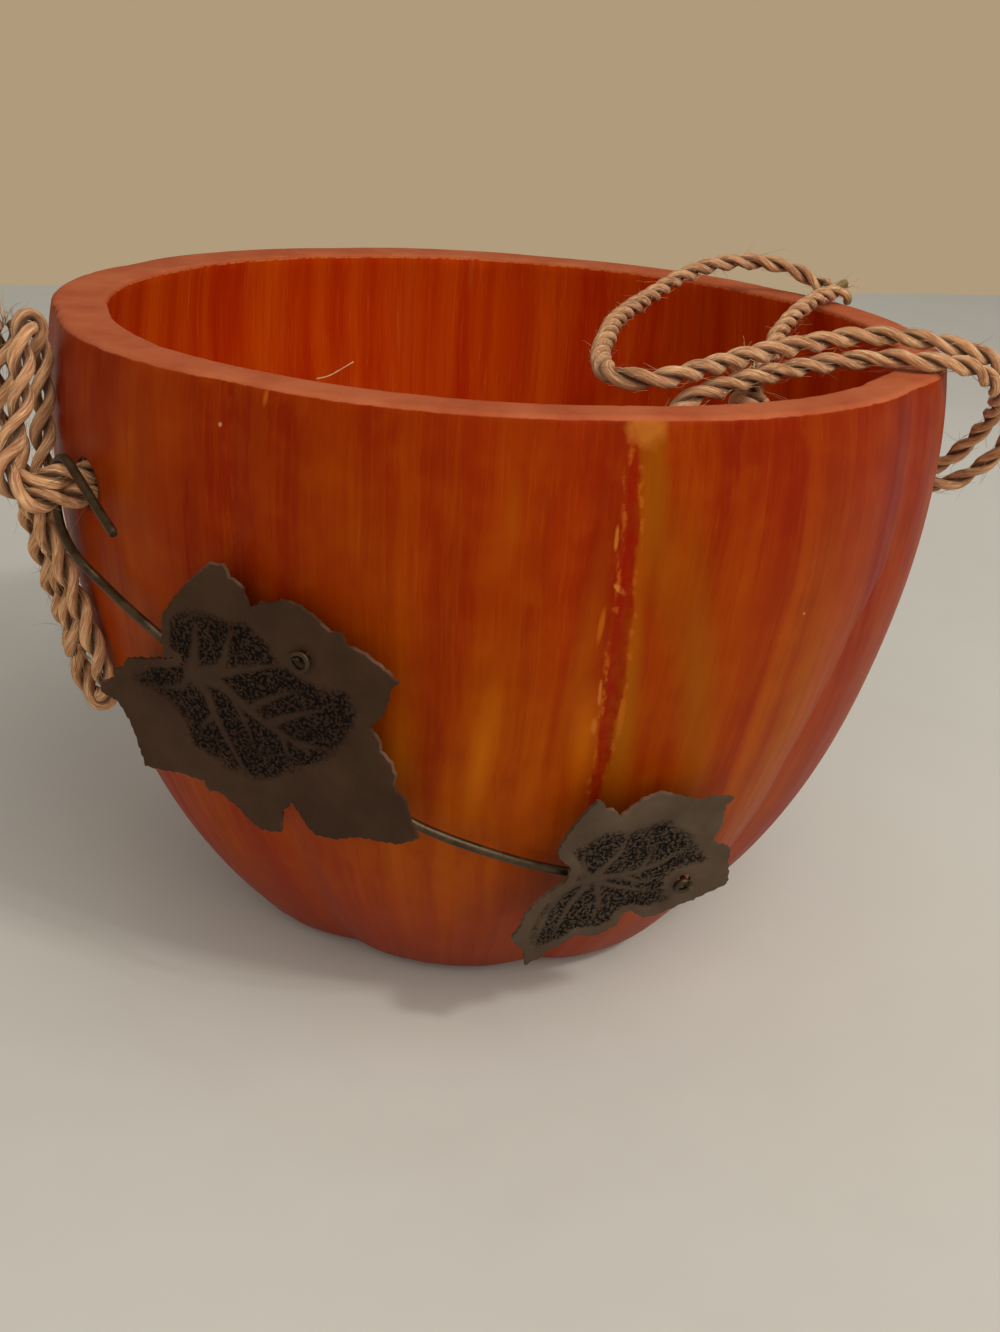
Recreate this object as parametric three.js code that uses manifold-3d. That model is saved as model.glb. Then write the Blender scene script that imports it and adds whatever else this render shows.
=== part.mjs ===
// A carved wooden pumpkin bowl with a lobed wall, two twine ties that pass through holes in its sides,
// and a wire garland with two sheet metal leaves, which hooks over the left tie and lies on the wall.
// All sizes are in millimetres. +Z is up, the front is -Y, and the origin is the middle of the flat foot.
import * as THREE from 'three';
import { mergeVertices } from 'three/addons/utils/BufferGeometryUtils.js';
import Module from 'manifold-3d';

const wasm = await Module();
wasm.setup();

// Bowl: the wall is two halves of an oval, a long one below the belly and a short one above it.
const rimHeight = 148.5;
const bellyRadius = 107;
const bellyHeight = 126;
const ovalBelow = 155;
const ovalAbove = 114;
const footRound = 5;
const footSteps = 3;
const outerRows = 11;
const innerRows = 7;
const rimEase = 1.2;
const wallMean = 12.2;
const wallSwing = 2.6;
const wallThinAt = 25;
const floorThickness = 14;
const floorRound = 18;
const floorSteps = 4;
const creaseDepthFoot = 3.4;
const creaseDepthRim = 2;
const innerCreaseShare = 0.4;
const creaseAngles = [-68, -27, 15, 51, 92, 132, 172, 212, 252];
const lobeSteps = 8;

// Holes for the ties, drilled square to the wall.
const holeDiameter = 10;
const holeSides = 16;
const leftHoleAngle = -50;
const leftHoleHeight = 119.2;
const rightHoleAngle = 90;
const rightHoleHeight = 115;

// Twine and its knots.
const twineDiameter = 4;
const twineSides = 8;
const knotDiameter = 12.8;
const knotLength = 8.6;
const knotSides = 12;
const tailKnotDiameter = 9.5;

// Garland: round wire, and leaves cut from sheet.
const wireDiameter = 2;
const wireSides = 8;
const leafThickness = 0.8;
const leafHoleDiameter = 3.2;
const leafHoleSides = 10;
const curlRadius = 1.9;
const curlSweep = 288;
const curlSteps = 8;
const curlLift = 0.4;
const branchDiameter = 1.6;

// Space between pieces that meet.
const gap = 0.3;

const degrees = Math.PI / 180;
const up = new THREE.Vector3(0, 0, 1);

// Directions at an angle measured from the front, towards +X.
const outward = (angle) => new THREE.Vector3(Math.sin(angle * degrees), -Math.cos(angle * degrees), 0);
const sideways = (angle) => new THREE.Vector3(Math.cos(angle * degrees), Math.sin(angle * degrees), 0);

function wallRadius(z) {
  const oval = z < bellyHeight ? ovalBelow : ovalAbove;
  return bellyRadius * Math.sqrt(1 - ((z - bellyHeight) / oval) ** 2);
}

const creaseDepth = (z) => creaseDepthFoot + (creaseDepthRim - creaseDepthFoot) * (z / rimHeight);

const wallThickness = (angle) => wallMean - wallSwing * Math.cos((angle - wallThinAt) * degrees);

// Every column of the bowl: its angle, and how near it is to a crease, from 0 mid-lobe to 1 in the crease.
const columns = creaseAngles.flatMap((start, i) => {
  const end = i + 1 < creaseAngles.length ? creaseAngles[i + 1] : creaseAngles[0] + 360;
  return Array.from({ length: lobeSteps }, (_, k) => ({
    angle: start + ((end - start) * k) / lobeSteps,
    crease: Math.abs((2 * k) / lobeSteps - 1) ** 3,
  }));
});

function creaseAt(angle) {
  const turned = ((((angle - creaseAngles[0]) % 360) + 360) % 360) + creaseAngles[0];
  const i = creaseAngles.findLastIndex((a) => a <= turned);
  const end = i + 1 < creaseAngles.length ? creaseAngles[i + 1] : creaseAngles[0] + 360;
  return Math.abs((2 * (turned - creaseAngles[i])) / (end - creaseAngles[i]) - 1) ** 3;
}

// The wall's two faces at a height, for a column with an angle and a nearness to a crease.
const outerAt = (z, column) => wallRadius(z) - creaseDepth(z) * column.crease;

const innerAt = (z, column) =>
  wallRadius(z) - wallThickness(column.angle) - innerCreaseShare * creaseDepth(z) * column.crease;

// One closed shell of rings from the foot over the rim to the floor. Each ring has a height, the face
// that it follows and how far it lies inside that face.
function bowlGeometry() {
  const rings = [];
  const ring = (z, face, inset = 0) => rings.push({ z, face, inset });
  for (let i = 0; i < footSteps; i += 1) {
    const turn = (i / footSteps) * 90 * degrees;
    ring(footRound * (1 - Math.cos(turn)), outerAt, footRound * (1 - Math.sin(turn)));
  }
  const edge = rimHeight - rimEase;
  for (let i = 0; i <= outerRows; i += 1) {
    ring(footRound + ((edge - footRound) * i) / outerRows, outerAt);
  }
  ring(rimHeight, outerAt, rimEase);
  ring(rimHeight, innerAt, -rimEase);
  const innerFoot = floorThickness + floorRound;
  for (let i = 0; i <= innerRows; i += 1) {
    ring(edge + ((innerFoot - edge) * i) / innerRows, innerAt);
  }
  for (let i = 1; i <= floorSteps; i += 1) {
    const turn = (i / floorSteps) * 90 * degrees;
    ring(innerFoot - floorRound * Math.sin(turn), innerAt, floorRound * (1 - Math.cos(turn)));
  }
  const points = rings.flatMap(({ z, face, inset }) =>
    columns.map((column) => outward(column.angle).multiplyScalar(face(z, column) - inset).setZ(z)),
  );
  const around = columns.length;
  const bottom = points.length;
  points.push(new THREE.Vector3(0, 0, 0), new THREE.Vector3(0, 0, floorThickness));
  const faces = [];
  for (let k = 0; k < around; k += 1) {
    const next = (k + 1) % around;
    faces.push(bottom, next, k);
    for (let i = 0; i + 1 < rings.length; i += 1) {
      const [a, b] = [i * around + k, i * around + next];
      faces.push(a, b, b + around, a, b + around, a + around);
    }
    const last = (rings.length - 1) * around;
    faces.push(last + k, last + next, bottom + 1);
  }
  return new THREE.BufferGeometry().setFromPoints(points).setIndex(faces);
}

function solid(geometry) {
  const bare = geometry.clone();
  bare.deleteAttribute('normal');
  bare.deleteAttribute('uv');
  const closed = mergeVertices(bare, 1e-4);
  return new wasm.Manifold(
    new wasm.Mesh({
      numProp: 3,
      vertProperties: new Float32Array(closed.attributes.position.array),
      triVerts: new Uint32Array(closed.index.array),
    }),
  );
}

function geometryOf(body) {
  const { vertProperties, triVerts } = body.getMesh();
  const geometry = new THREE.BufferGeometry();
  geometry.setAttribute('position', new THREE.BufferAttribute(new Float32Array(vertProperties), 3));
  geometry.setIndex(new THREE.BufferAttribute(new Uint32Array(triVerts), 1));
  geometry.computeVertexNormals();
  return geometry;
}

// A form that was made along +Y, turned to a level direction and put at a height.
function along(geometry, direction, height) {
  geometry.applyQuaternion(new THREE.Quaternion().setFromUnitVectors(new THREE.Vector3(0, 1, 0), direction));
  return geometry.translate(0, 0, height);
}

// The corners of a round outline about a point.
const circle = (diameter, sides, x = 0, y = 0) =>
  Array.from({ length: sides }, (_, k) => {
    const turn = (2 * Math.PI * k) / sides;
    return new THREE.Vector2(x + (diameter / 2) * Math.cos(turn), y + (diameter / 2) * Math.sin(turn));
  });

// A round tube along a curve, with flat ends.
const tube = (curve, diameter, sides, steps) =>
  new THREE.ExtrudeGeometry(new THREE.Shape(circle(diameter, sides)), { extrudePath: curve, steps });

const through = (points) => new THREE.CatmullRomCurve3(points, false, 'centripetal');

// Where each tie passes through the wall: the hole's line, and the wall's two faces on it.
function holeAt(angle, height) {
  const column = { angle, crease: creaseAt(angle) };
  return { height, direction: outward(angle), inner: innerAt(height, column), outer: outerAt(height, column) };
}

const leftHole = holeAt(leftHoleAngle, leftHoleHeight);
const rightHole = holeAt(rightHoleAngle, rightHoleHeight);

// The two strands of a tie lie one above the other in the hole.
const strandOffset = twineDiameter / 2 + gap;
const strandPoint = (hole, radius, side) =>
  hole.direction.clone().multiplyScalar(radius).setZ(hole.height + side * strandOffset);

// A strand's start: from the knot inside to the wall's outer face.
const strandStart = (hole, side) => [
  strandPoint(hole, hole.inner - gap, side),
  strandPoint(hole, hole.outer, side),
];

// Every route below is a hand-chosen list of points beside the wall. Each has an angle from the front,
// a distance out from the wall's outline at its height (less than 0 inside it), and a height.
const beside = ([angle, out, z]) => outward(angle).multiplyScalar(wallRadius(z) + out).setZ(z);

// Routes of the four strands after they leave the wall.
const leftUpperRoute = [
  [-50, 5.3, 121.5], [-50.5, 8.6, 121.2], [-51.9, 10.9, 120.3], [-53.5, 11.3, 119.2], [-55, 10.2, 117],
  [-56, 8.6, 113], [-56, 6.8, 107.5], [-55.1, 5.2, 102], [-53.9, 4, 95], [-52.9, 3.5, 88], [-52, 3.2, 81.4],
  [-51.8, 3.5, 74], [-53.2, 3.9, 67.4], [-56.6, 4.6, 64.6], [-60, 5.1, 67.4], [-61.3, 4.5, 74],
  [-61.2, 4.5, 82], [-60.9, 5.2, 91], [-60.7, 6.3, 101], [-60.8, 7.3, 112], [-61, 8.7, 124],
  [-61.2, 9.8, 136], [-61.2, 10.4, 148.3],
];
const leftLowerRoute = [
  [-50, 9.1, 116.9], [-50.3, 12.9, 117.9], [-51.1, 15.2, 120.5], [-52, 14.9, 123.8], [-52.8, 13.1, 127.1],
  [-53.6, 11.1, 130.6], [-54.3, 9.8, 134.8], [-54.9, 9.2, 139.4], [-55.5, 9.2, 143.8], [-56.4, 8.9, 147.8],
  [-58.2, 7.2, 149.5],
  [-60.4, 4.6, 147.4], [-61.4, 2.8, 142.5], [-61, 2.1, 135], [-60.2, 2.5, 127], [-59.3, 3.5, 119],
  [-58.4, 4.1, 111], [-57.6, 4.4, 102], [-56.6, 4.5, 95], [-55.8, 4.7, 88], [-55, 5.5, 78],
];
const rightUpperRoute = [
  [89.9, 4.6, 117.6], [89.2, 7.8, 120.6], [87.6, 10, 125.2], [85.6, 11.6, 129.8], [83.2, 12.1, 134.2],
  [79.8, 11.9, 138.7], [76.2, 11.3, 142.5], [72.8, 9.6, 146], [69.9, 7.2, 148.8], [67.6, 3.7, 150.6],
  [65.3, -3.1, 151.1], [64, -8.7, 151.1], [62.2, -14.1, 150.7], [59.4, -18.7, 150.1], [55.2, -22, 149.6],
  [50.2, -24.3, 149.1], [43.9, -25.7, 148.4], [37, -25.4, 147.6], [31.5, -24.2, 146.8], [27.9, -23.3, 145.5],
  [24.7, -21.8, 142.7], [23.4, -21.4, 138], [24.9, -23, 133.4], [29, -25.5, 131.6], [33.5, -28.1, 133],
  [38, -30.2, 136.4], [42.3, -31.6, 140.2],
];
const rightLowerRoute = [
  [89.9, 5.4, 112.7], [89.5, 10.2, 114.4], [88.8, 13.6, 117.6], [87.9, 16.5, 121.6], [86.8, 18.4, 126.4],
  [85.2, 19, 131.8], [82.8, 17.6, 137.8], [79.5, 15.1, 143.4], [75.8, 12.2, 147.8], [72.6, 9, 151.1],
  [70, 5, 153.2], [68.4, 0.7, 154.3], [67.2, -3.9, 155], [65.7, -10.4, 155.2], [63.6, -15.3, 154.9],
  [59.5, -20.1, 154.4], [52.8, -24.1, 153.6], [43.9, -26.1, 152.8], [35.8, -24.8, 152.2],
  [29.6, -21.9, 151.8], [24.3, -18.9, 151.4], [21.5, -18.3, 151.1], [18.6, -20, 150.9],
  [16.9, -23.7, 150.8], [16.9, -28.3, 150.7], [18.3, -35, 150.6], [22.3, -46.1, 150.6],
  [32.1, -59.6, 150.6], [59.3, -73, 150.9], [95.2, -71.5, 151.4], [118.1, -59.5, 152.5],
  [127.6, -44.5, 154.6], [130.4, -30.7, 156.2], [130.2, -19.4, 156.9], [128.8, -10.5, 156.6],
  [126.8, -4, 155.2], [124.7, -1, 153.2], [122.1, 0.3, 151.4],
];
const tailKnotCentre = beside([46, -31.3, 142.2]);
const tailRoute = [
  [49.3, -33.3, 143.9], [55.8, -36.1, 145.3], [67.1, -38.3, 146.8], [84, -38.1, 148.6],
  [99.3, -30.6, 150.2], [109.9, -19.3, 151.2], [116, -7.5, 151.6], [118.1, 1.8, 151.4],
];

const leftUpper = through([...strandStart(leftHole, 1), ...leftUpperRoute.map(beside)]);
const leftLower = through([...strandStart(leftHole, -1), ...leftLowerRoute.map(beside)]);
const rightUpper = through([...strandStart(rightHole, 1), ...rightUpperRoute.map(beside)]);
const rightLower = through([...strandStart(rightHole, -1), ...rightLowerRoute.map(beside)]);
const tail = through(tailRoute.map(beside));

// A knot that is wider than its hole: a turned form, flat where it meets the wall. Its profile is in
// shares of its radius and length, from the free end to the wall.
const knotProfile = [[0, 0], [0.78, 0.14], [1, 0.5], [0.97, 0.75], [0.7, 1], [0, 1]];

function stopperKnot(hole) {
  const seat = hole.inner - 2 * gap;
  const profile = knotProfile.map(
    ([reach, depth]) => new THREE.Vector2((reach * knotDiameter) / 2, seat - knotLength + depth * knotLength),
  );
  return along(new THREE.LatheGeometry(profile, knotSides), hole.direction, hole.height);
}

// A leaf's plane: tangent to the wall at an angle, leaning with the wall, its origin at a height.
function leafFrame(angle, lean, radius, height) {
  const out = outward(angle);
  const normal = out.clone().multiplyScalar(Math.cos(lean * degrees)).addScaledVector(up, -Math.sin(lean * degrees));
  const rise = out.clone().multiplyScalar(Math.sin(lean * degrees)).addScaledVector(up, Math.cos(lean * degrees));
  const origin = out.clone().multiplyScalar(radius).setZ(height);
  const across = sideways(angle);
  const at = (u, v, off = 0) =>
    origin.clone().addScaledVector(across, u).addScaledVector(rise, v).addScaledVector(normal, off);
  return { across, rise, normal, at, matrix: new THREE.Matrix4().makeBasis(across, rise, normal).setPosition(origin) };
}

const largeLeafAngle = -25;
const largeLeafLean = 8;
const largeLeafHeight = 84;
const largeLeafStandOff = 4;
const smallLeafAngle = 19;
const smallLeafLean = 15;
const smallLeafHeight = 68;
const smallLeafStandOff = 5.2;
const largeFrame = leafFrame(
  largeLeafAngle, largeLeafLean, wallRadius(largeLeafHeight) + largeLeafStandOff, largeLeafHeight);
const smallFrame = leafFrame(
  smallLeafAngle, smallLeafLean, wallRadius(smallLeafHeight) + smallLeafStandOff, smallLeafHeight);

// Leaf outlines in their own planes, clockwise from the notch at the stem: tips, teeth and notches.
const largeLeafOutline = [
  [-14.5, 8], [-17, 6.5], [-17, 12], [-16, 17.5], [-13, 21.5], [-8, 27], [-3, 31.5], [0.5, 32],
  [1.5, 29.5], [4, 28.5], [5, 25], [5.5, 24], [8, 26], [10, 26], [12.5, 27.5], [16.5, 27.5], [20.5, 25.5],
  [23, 23.5], [26, 23.5], [26.5, 21.5], [30, 21], [34, 19], [37.5, 16.5], [35.5, 14.5], [35, 11.5],
  [33, 7], [30.5, 5], [32.5, 2.5], [33, 0], [35, -2], [36, -4.5], [35.5, -8], [38, -10], [38.5, -13.5],
  [40.5, -18], [36, -21], [26.5, -22.5], [21, -25], [16.5, -25.5], [14, -23.5], [12.5, -21], [11, -19],
  [8.5, -22.5], [7.5, -28], [3, -29], [0, -27.5], [-3.5, -24.5], [-7.5, -22.5], [-10, -23.5],
  [-11, -21], [-17.5, -21], [-25, -22], [-26.5, -22], [-28, -14.5], [-29, -11], [-31.5, -7],
  [-35.5, -6], [-35.5, -3.5], [-31.5, -1.5], [-31, 0.5], [-28.5, 2], [-27, 4.5], [-22.5, 5.5],
];
const smallLeafOutline = [
  [-10, -14.5], [-11.5, -13.5], [-13.5, -11], [-14, -8.5], [-12.5, -4.5], [-10.5, 0], [-8, 4], [-7, 4],
  [-5.5, 1.5], [-3.5, 1], [-2, -1], [0.5, 1.5], [2.5, 3.5], [5, 4.5], [7, 4.5], [10, 3], [15.5, 1],
  [18.5, 2], [23, 1], [21.5, -1], [22, -6.5], [21, -11], [23.5, -13], [26, -14], [26.5, -18],
  [28, -23.5], [28, -25.5], [25.5, -27], [21, -29.5], [17, -31], [13.5, -33], [10.5, -33.5], [8.5, -32.5],
  [7, -31], [5.5, -30.5], [4.5, -32], [4, -34.5], [1.5, -36.5], [-1, -37.5], [-5, -36.5], [-6.5, -37.5],
  [-8.5, -39.5], [-10.5, -40], [-12.5, -42.5], [-15.5, -44.5], [-16.5, -40], [-20, -35], [-18.5, -31.5],
  [-18, -27.5], [-16.5, -25], [-14, -22], [-10.5, -18.5],
];
const largeLeafHole = [17, 16.5];
const smallLeafHole = [17, -22.5];

function leafGeometry(outline, hole, frame) {
  const shape = new THREE.Shape(outline.map(([u, v]) => new THREE.Vector2(u, v)).reverse());
  shape.holes.push(new THREE.Path(circle(leafHoleDiameter, leafHoleSides, ...hole)));
  const geometry = new THREE.ExtrudeGeometry(shape, { depth: leafThickness, bevelEnabled: false });
  return geometry.translate(0, 0, -leafThickness / 2).applyMatrix4(frame.matrix);
}

// A wire's end: it comes through the leaf's hole from behind and curls in front of the leaf, which it
// holds. The curl starts at an angle in the leaf's plane and lies a little further out than its start.
function curlPoints(frame, hole, diameter, startTurn) {
  const face = leafThickness / 2 + gap + diameter / 2;
  const start = startTurn * degrees;
  const centre = [hole[0] - curlRadius * Math.cos(start), hole[1] - curlRadius * Math.sin(start)];
  const points = [-face - curlLift, 0, face - curlLift].map((off) => frame.at(...hole, off));
  for (let k = 1; k <= curlSteps; k += 1) {
    const turn = (startTurn + (curlSweep * k) / curlSteps) * degrees;
    const [u, v] = [centre[0] + curlRadius * Math.cos(turn), centre[1] + curlRadius * Math.sin(turn)];
    points.push(frame.at(u, v, face + curlLift));
  }
  return points;
}

// The garland's wire: free end, hook, then along the wall and behind both leaves to the small leaf's curl.
const hookRoute = [
  [-38.6, 6.7, 115.6], [-43.6, 5, 120], [-47.3, 4.3, 123.2], [-48.8, 4.2, 124.5], [-50, 4.2, 124.9],
  [-51.5, 4.2, 124.1], [-52.5, 4.3, 122], [-52.9, 4.4, 119.2], [-53.1, 4.6, 114.4], [-52.3, 4.9, 109.6],
  [-49.9, 5.1, 106], [-47.1, 5.2, 104.1],
];
const wallRoute = [
  [-44.8, 3.7, 100.9], [-40.5, 4, 98.8], [-37.5, 3.8, 96.6], [-35.4, 2.8, 93.8], [-32.3, 1.7, 90.4],
  [-26.5, 1.7, 85.6], [-19.7, 2, 79], [-12.3, 3.4, 71.4], [-5.8, 4.4, 64.2], [-2.1, 4.5, 61],
  [3.3, 4.5, 57.1], [9.1, 4.1, 52.9], [14.3, 4, 49.8], [19.9, 4.8, 47.4], [25, 5.7, 45.4],
];
const garlandWire = through([
  ...[...hookRoute, ...wallRoute].map(beside),
  ...curlPoints(smallFrame, smallLeafHole, wireDiameter, 0),
]);

// The large leaf's wire is tacked on top of the main one, then rises to its leaf.
const tackSpan = [0.37, 0.38, 0.39, 0.4];
const tackPoints = tackSpan.map((share) => {
  const tangent = garlandWire.getTangentAt(share);
  const side = up.clone().addScaledVector(tangent, -up.dot(tangent)).normalize();
  return garlandWire.getPointAt(share).addScaledVector(side, (wireDiameter + branchDiameter) / 2 + gap);
});
const branchRoute = [[-22.1, 1.9, 92.5], [-18.8, 2, 97]];
const branchWire = through([
  ...tackPoints,
  ...branchRoute.map(beside),
  ...curlPoints(largeFrame, largeLeafHole, branchDiameter, 90),
]);

const material = (color, roughness, metalness = 0) => new THREE.MeshStandardMaterial({ color, roughness, metalness });
const stainedWood = material(0xb4430f, 0.32);
const jute = material(0xb08a5c, 0.92);
const darkWire = material(0x5b4c3a, 0.45, 0.9);
const darkSheet = material(0x4a3d32, 0.6, 0.7);

const part = new THREE.Group();

function add(name, geometry, look) {
  const mesh = new THREE.Mesh(geometry, look);
  mesh.name = name;
  part.add(mesh);
}

// A drill for a tie's hole, long enough to pass both faces of the wall.
function drill(hole) {
  const length = 2 * (hole.outer - hole.inner);
  const rod = new THREE.CylinderGeometry(holeDiameter / 2, holeDiameter / 2, length, holeSides);
  return solid(along(rod.translate(0, (hole.inner + hole.outer) / 2, 0), hole.direction, hole.height));
}

function drilledBowl() {
  return geometryOf([leftHole, rightHole].reduce((body, hole) => body.subtract(drill(hole)), solid(bowlGeometry())));
}

add('bowl', drilledBowl(), stainedWood);
add('left_knot', stopperKnot(leftHole), jute);
add('right_knot', stopperKnot(rightHole), jute);
add('left_twine_upper', tube(leftUpper, twineDiameter, twineSides, 22), jute);
add('left_twine_lower', tube(leftLower, twineDiameter, twineSides, 22), jute);
add('right_twine_inner', tube(rightUpper, twineDiameter, twineSides, 24), jute);
add('right_twine_loop', tube(rightLower, twineDiameter, twineSides, 36), jute);
add('right_twine_tail', tube(tail, twineDiameter, twineSides, 9), jute);
add('tail_knot', new THREE.SphereGeometry(tailKnotDiameter / 2, 10, 7).translate(...tailKnotCentre), jute);
add('garland_wire', tube(garlandWire, wireDiameter, wireSides, 90), darkWire);
add('leaf_branch_wire', tube(branchWire, branchDiameter, wireSides, 34), darkWire);
add('large_leaf', leafGeometry(largeLeafOutline, largeLeafHole, largeFrame), darkSheet);
add('small_leaf', leafGeometry(smallLeafOutline, smallLeafHole, smallFrame), darkSheet);

export default part;
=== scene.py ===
"""A carved pumpkin bowl with two jute ties and a wire garland of embossed metal leaves.

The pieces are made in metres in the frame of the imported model: +Z up, the front is -Y. The tables and
the bowl's formula are in millimetres and degrees from the front, and MM turns them into metres.
"""

import bpy
import numpy as np
from mathutils import Matrix, Vector, geometry


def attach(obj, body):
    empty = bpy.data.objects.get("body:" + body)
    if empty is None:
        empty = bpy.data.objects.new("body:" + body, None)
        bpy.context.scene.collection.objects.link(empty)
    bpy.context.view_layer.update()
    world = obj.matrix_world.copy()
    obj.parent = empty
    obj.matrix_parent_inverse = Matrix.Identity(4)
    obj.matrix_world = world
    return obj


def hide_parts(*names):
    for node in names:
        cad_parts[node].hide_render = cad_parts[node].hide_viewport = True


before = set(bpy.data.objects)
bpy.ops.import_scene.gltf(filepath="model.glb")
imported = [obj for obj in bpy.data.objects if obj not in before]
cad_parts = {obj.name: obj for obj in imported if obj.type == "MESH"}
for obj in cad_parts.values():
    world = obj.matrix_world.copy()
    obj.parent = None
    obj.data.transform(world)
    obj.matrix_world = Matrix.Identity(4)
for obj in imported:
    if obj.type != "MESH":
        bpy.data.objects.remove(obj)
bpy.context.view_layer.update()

MM = 0.001

# Camera: solved from the rim, the foot and the wall's outline in the photograph.
PHOTO_SIZE = (1000, 1332)
PHOTO_FOCUS = 1400
CAMERA_AT = (0.0058, -0.3455, 0.2067)
CAMERA_PITCH = 23.8
CAMERA_ROLL = 4.0

# The bowl's formula, as in its source.
RIM_HEIGHT = 148.5
BELLY_RADIUS = 107
BELLY_HEIGHT = 126
OVAL_BELOW = 155
OVAL_ABOVE = 114
FOOT_ROUND = 5
RIM_ROUND = 1.2
FLOOR_HEIGHT = 14
FLOOR_ROUND = 18
LOBES = 9
CREASES = np.array([-68, -27, 15, 51, 92, 132, 172, 212, 252, 292.0])
HOLES = ((-50, 119.2), (90, 115))
HOLE_RADIUS = 5
HOLE_EASE = 0.9

# Routes beside the wall: degrees from the front, millimetres out from the wall's outline, and height.
LEFT_UPPER = [
    (-50, 5.3, 121.5), (-50.5, 8.6, 121.2), (-51.9, 10.9, 120.3), (-53.5, 11.3, 119.2),
    (-55, 10.2, 117), (-56, 8.6, 113), (-56, 6.8, 107.5), (-55.1, 5.2, 102), (-53.9, 4, 95),
    (-52.9, 3.5, 88), (-52, 3.2, 81.4), (-51.8, 3.5, 74), (-53.2, 3.9, 67.4), (-56.6, 4.6, 64.6),
    (-60, 5.1, 67.4), (-61.3, 4.5, 74), (-61.2, 4.5, 82), (-60.9, 5.2, 91), (-60.7, 6.3, 101),
    (-60.8, 7.3, 112), (-61, 8.7, 124), (-61.2, 9.8, 136), (-61.2, 10.4, 148.3),
]
LEFT_LOWER = [
    (-50, 9.1, 116.9), (-50.3, 12.9, 117.9), (-51.1, 15.2, 120.5), (-52, 14.9, 123.8),
    (-52.8, 13.1, 127.1), (-53.6, 11.1, 130.6), (-54.3, 9.8, 134.8), (-54.9, 9.2, 139.4),
    (-55.5, 9.2, 143.8), (-56.4, 8.9, 147.8), (-58.2, 7.2, 149.5), (-60.4, 4.6, 147.4),
    (-61.4, 2.8, 142.5), (-61, 2.1, 135), (-60.2, 2.5, 127), (-59.3, 3.5, 119), (-58.4, 4.1, 111),
    (-57.6, 4.4, 102), (-56.6, 4.5, 95), (-55.8, 4.7, 88), (-55, 5.5, 78),
]
RIGHT_INNER = [
    (89.9, 4.6, 117.6), (89.2, 7.8, 120.6), (87.6, 10, 125.2), (85.6, 11.6, 129.8),
    (83.2, 12.1, 134.2), (79.8, 11.9, 138.7), (76.2, 11.3, 142.5), (72.8, 9.6, 146),
    (69.9, 7.2, 148.8), (67.6, 3.7, 150.6), (65.3, -3.1, 151.1), (64, -8.7, 151.1),
    (62.2, -14.1, 150.7), (59.4, -18.7, 150.1), (55.2, -22, 149.6), (50.2, -24.3, 149.1),
    (43.9, -25.7, 148.4), (37, -25.4, 147.6), (31.5, -24.2, 146.8), (27.9, -23.3, 145.5),
    (24.7, -21.8, 142.7), (23.4, -21.4, 138), (24.9, -23, 133.4), (29, -25.5, 131.6),
    (33.5, -28.1, 133), (38, -30.2, 136.4), (42.3, -31.6, 140.2),
]
RIGHT_LOOP = [
    (89.9, 5.4, 112.7), (89.5, 10.2, 114.4), (88.8, 13.6, 117.6), (87.9, 16.5, 121.6),
    (86.8, 18.4, 126.4), (85.2, 19, 131.8), (82.8, 17.6, 137.8), (79.5, 15.1, 143.4),
    (75.8, 12.2, 147.8), (72.6, 9, 151.1), (70, 5, 153.2), (68.4, 0.7, 154.3), (67.2, -3.9, 155),
    (65.7, -10.4, 155.2), (63.6, -15.3, 154.9), (59.5, -20.1, 154.4), (52.8, -24.1, 153.6),
    (43.9, -26.1, 152.8), (35.8, -24.8, 152.2), (29.6, -21.9, 151.8), (24.3, -18.9, 151.4),
    (21.5, -18.3, 151.1), (18.6, -20, 150.9), (16.9, -23.7, 150.8), (16.9, -28.3, 150.7),
    (18.3, -35, 150.6), (22.3, -46.1, 150.6), (32.1, -59.6, 150.6), (59.3, -73, 150.9),
    (95.2, -71.5, 151.4), (118.1, -59.5, 152.5), (127.6, -44.5, 154.6), (130.4, -30.7, 156.2),
    (130.2, -19.4, 156.9), (128.8, -10.5, 156.6), (126.8, -4, 155.2), (124.7, -1, 153.2),
    (122.1, 0.3, 151.4),
]
TAIL = [
    (49.3, -33.3, 143.9), (55.8, -36.1, 145.3), (67.1, -38.3, 146.8), (84, -38.1, 148.6),
    (99.3, -30.6, 150.2), (109.9, -19.3, 151.2), (116, -7.5, 151.6), (118.1, 1.8, 151.4),
]
HOOK = [
    (-38.6, 6.7, 115.6), (-43.6, 5, 120), (-47.3, 4.3, 123.2), (-48.8, 4.2, 124.5), (-50, 4.2, 124.9),
    (-51.5, 4.2, 124.1), (-52.5, 4.3, 122), (-52.9, 4.4, 119.2), (-53.1, 4.6, 114.4),
    (-52.3, 4.9, 109.6), (-49.9, 5.1, 106), (-47.1, 5.2, 104.1),
]
WALL = [
    (-44.8, 3.7, 100.9), (-40.5, 4, 98.8), (-37.5, 3.8, 96.6), (-35.4, 2.8, 93.8), (-32.3, 1.7, 90.4),
    (-26.5, 1.7, 85.6), (-19.7, 2, 79), (-12.3, 3.4, 71.4), (-5.8, 4.4, 64.2), (-2.1, 4.5, 61),
    (3.3, 4.5, 57.1), (9.1, 4.1, 52.9), (14.3, 4, 49.8), (19.9, 4.8, 47.4), (25, 5.7, 45.4),
]
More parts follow.
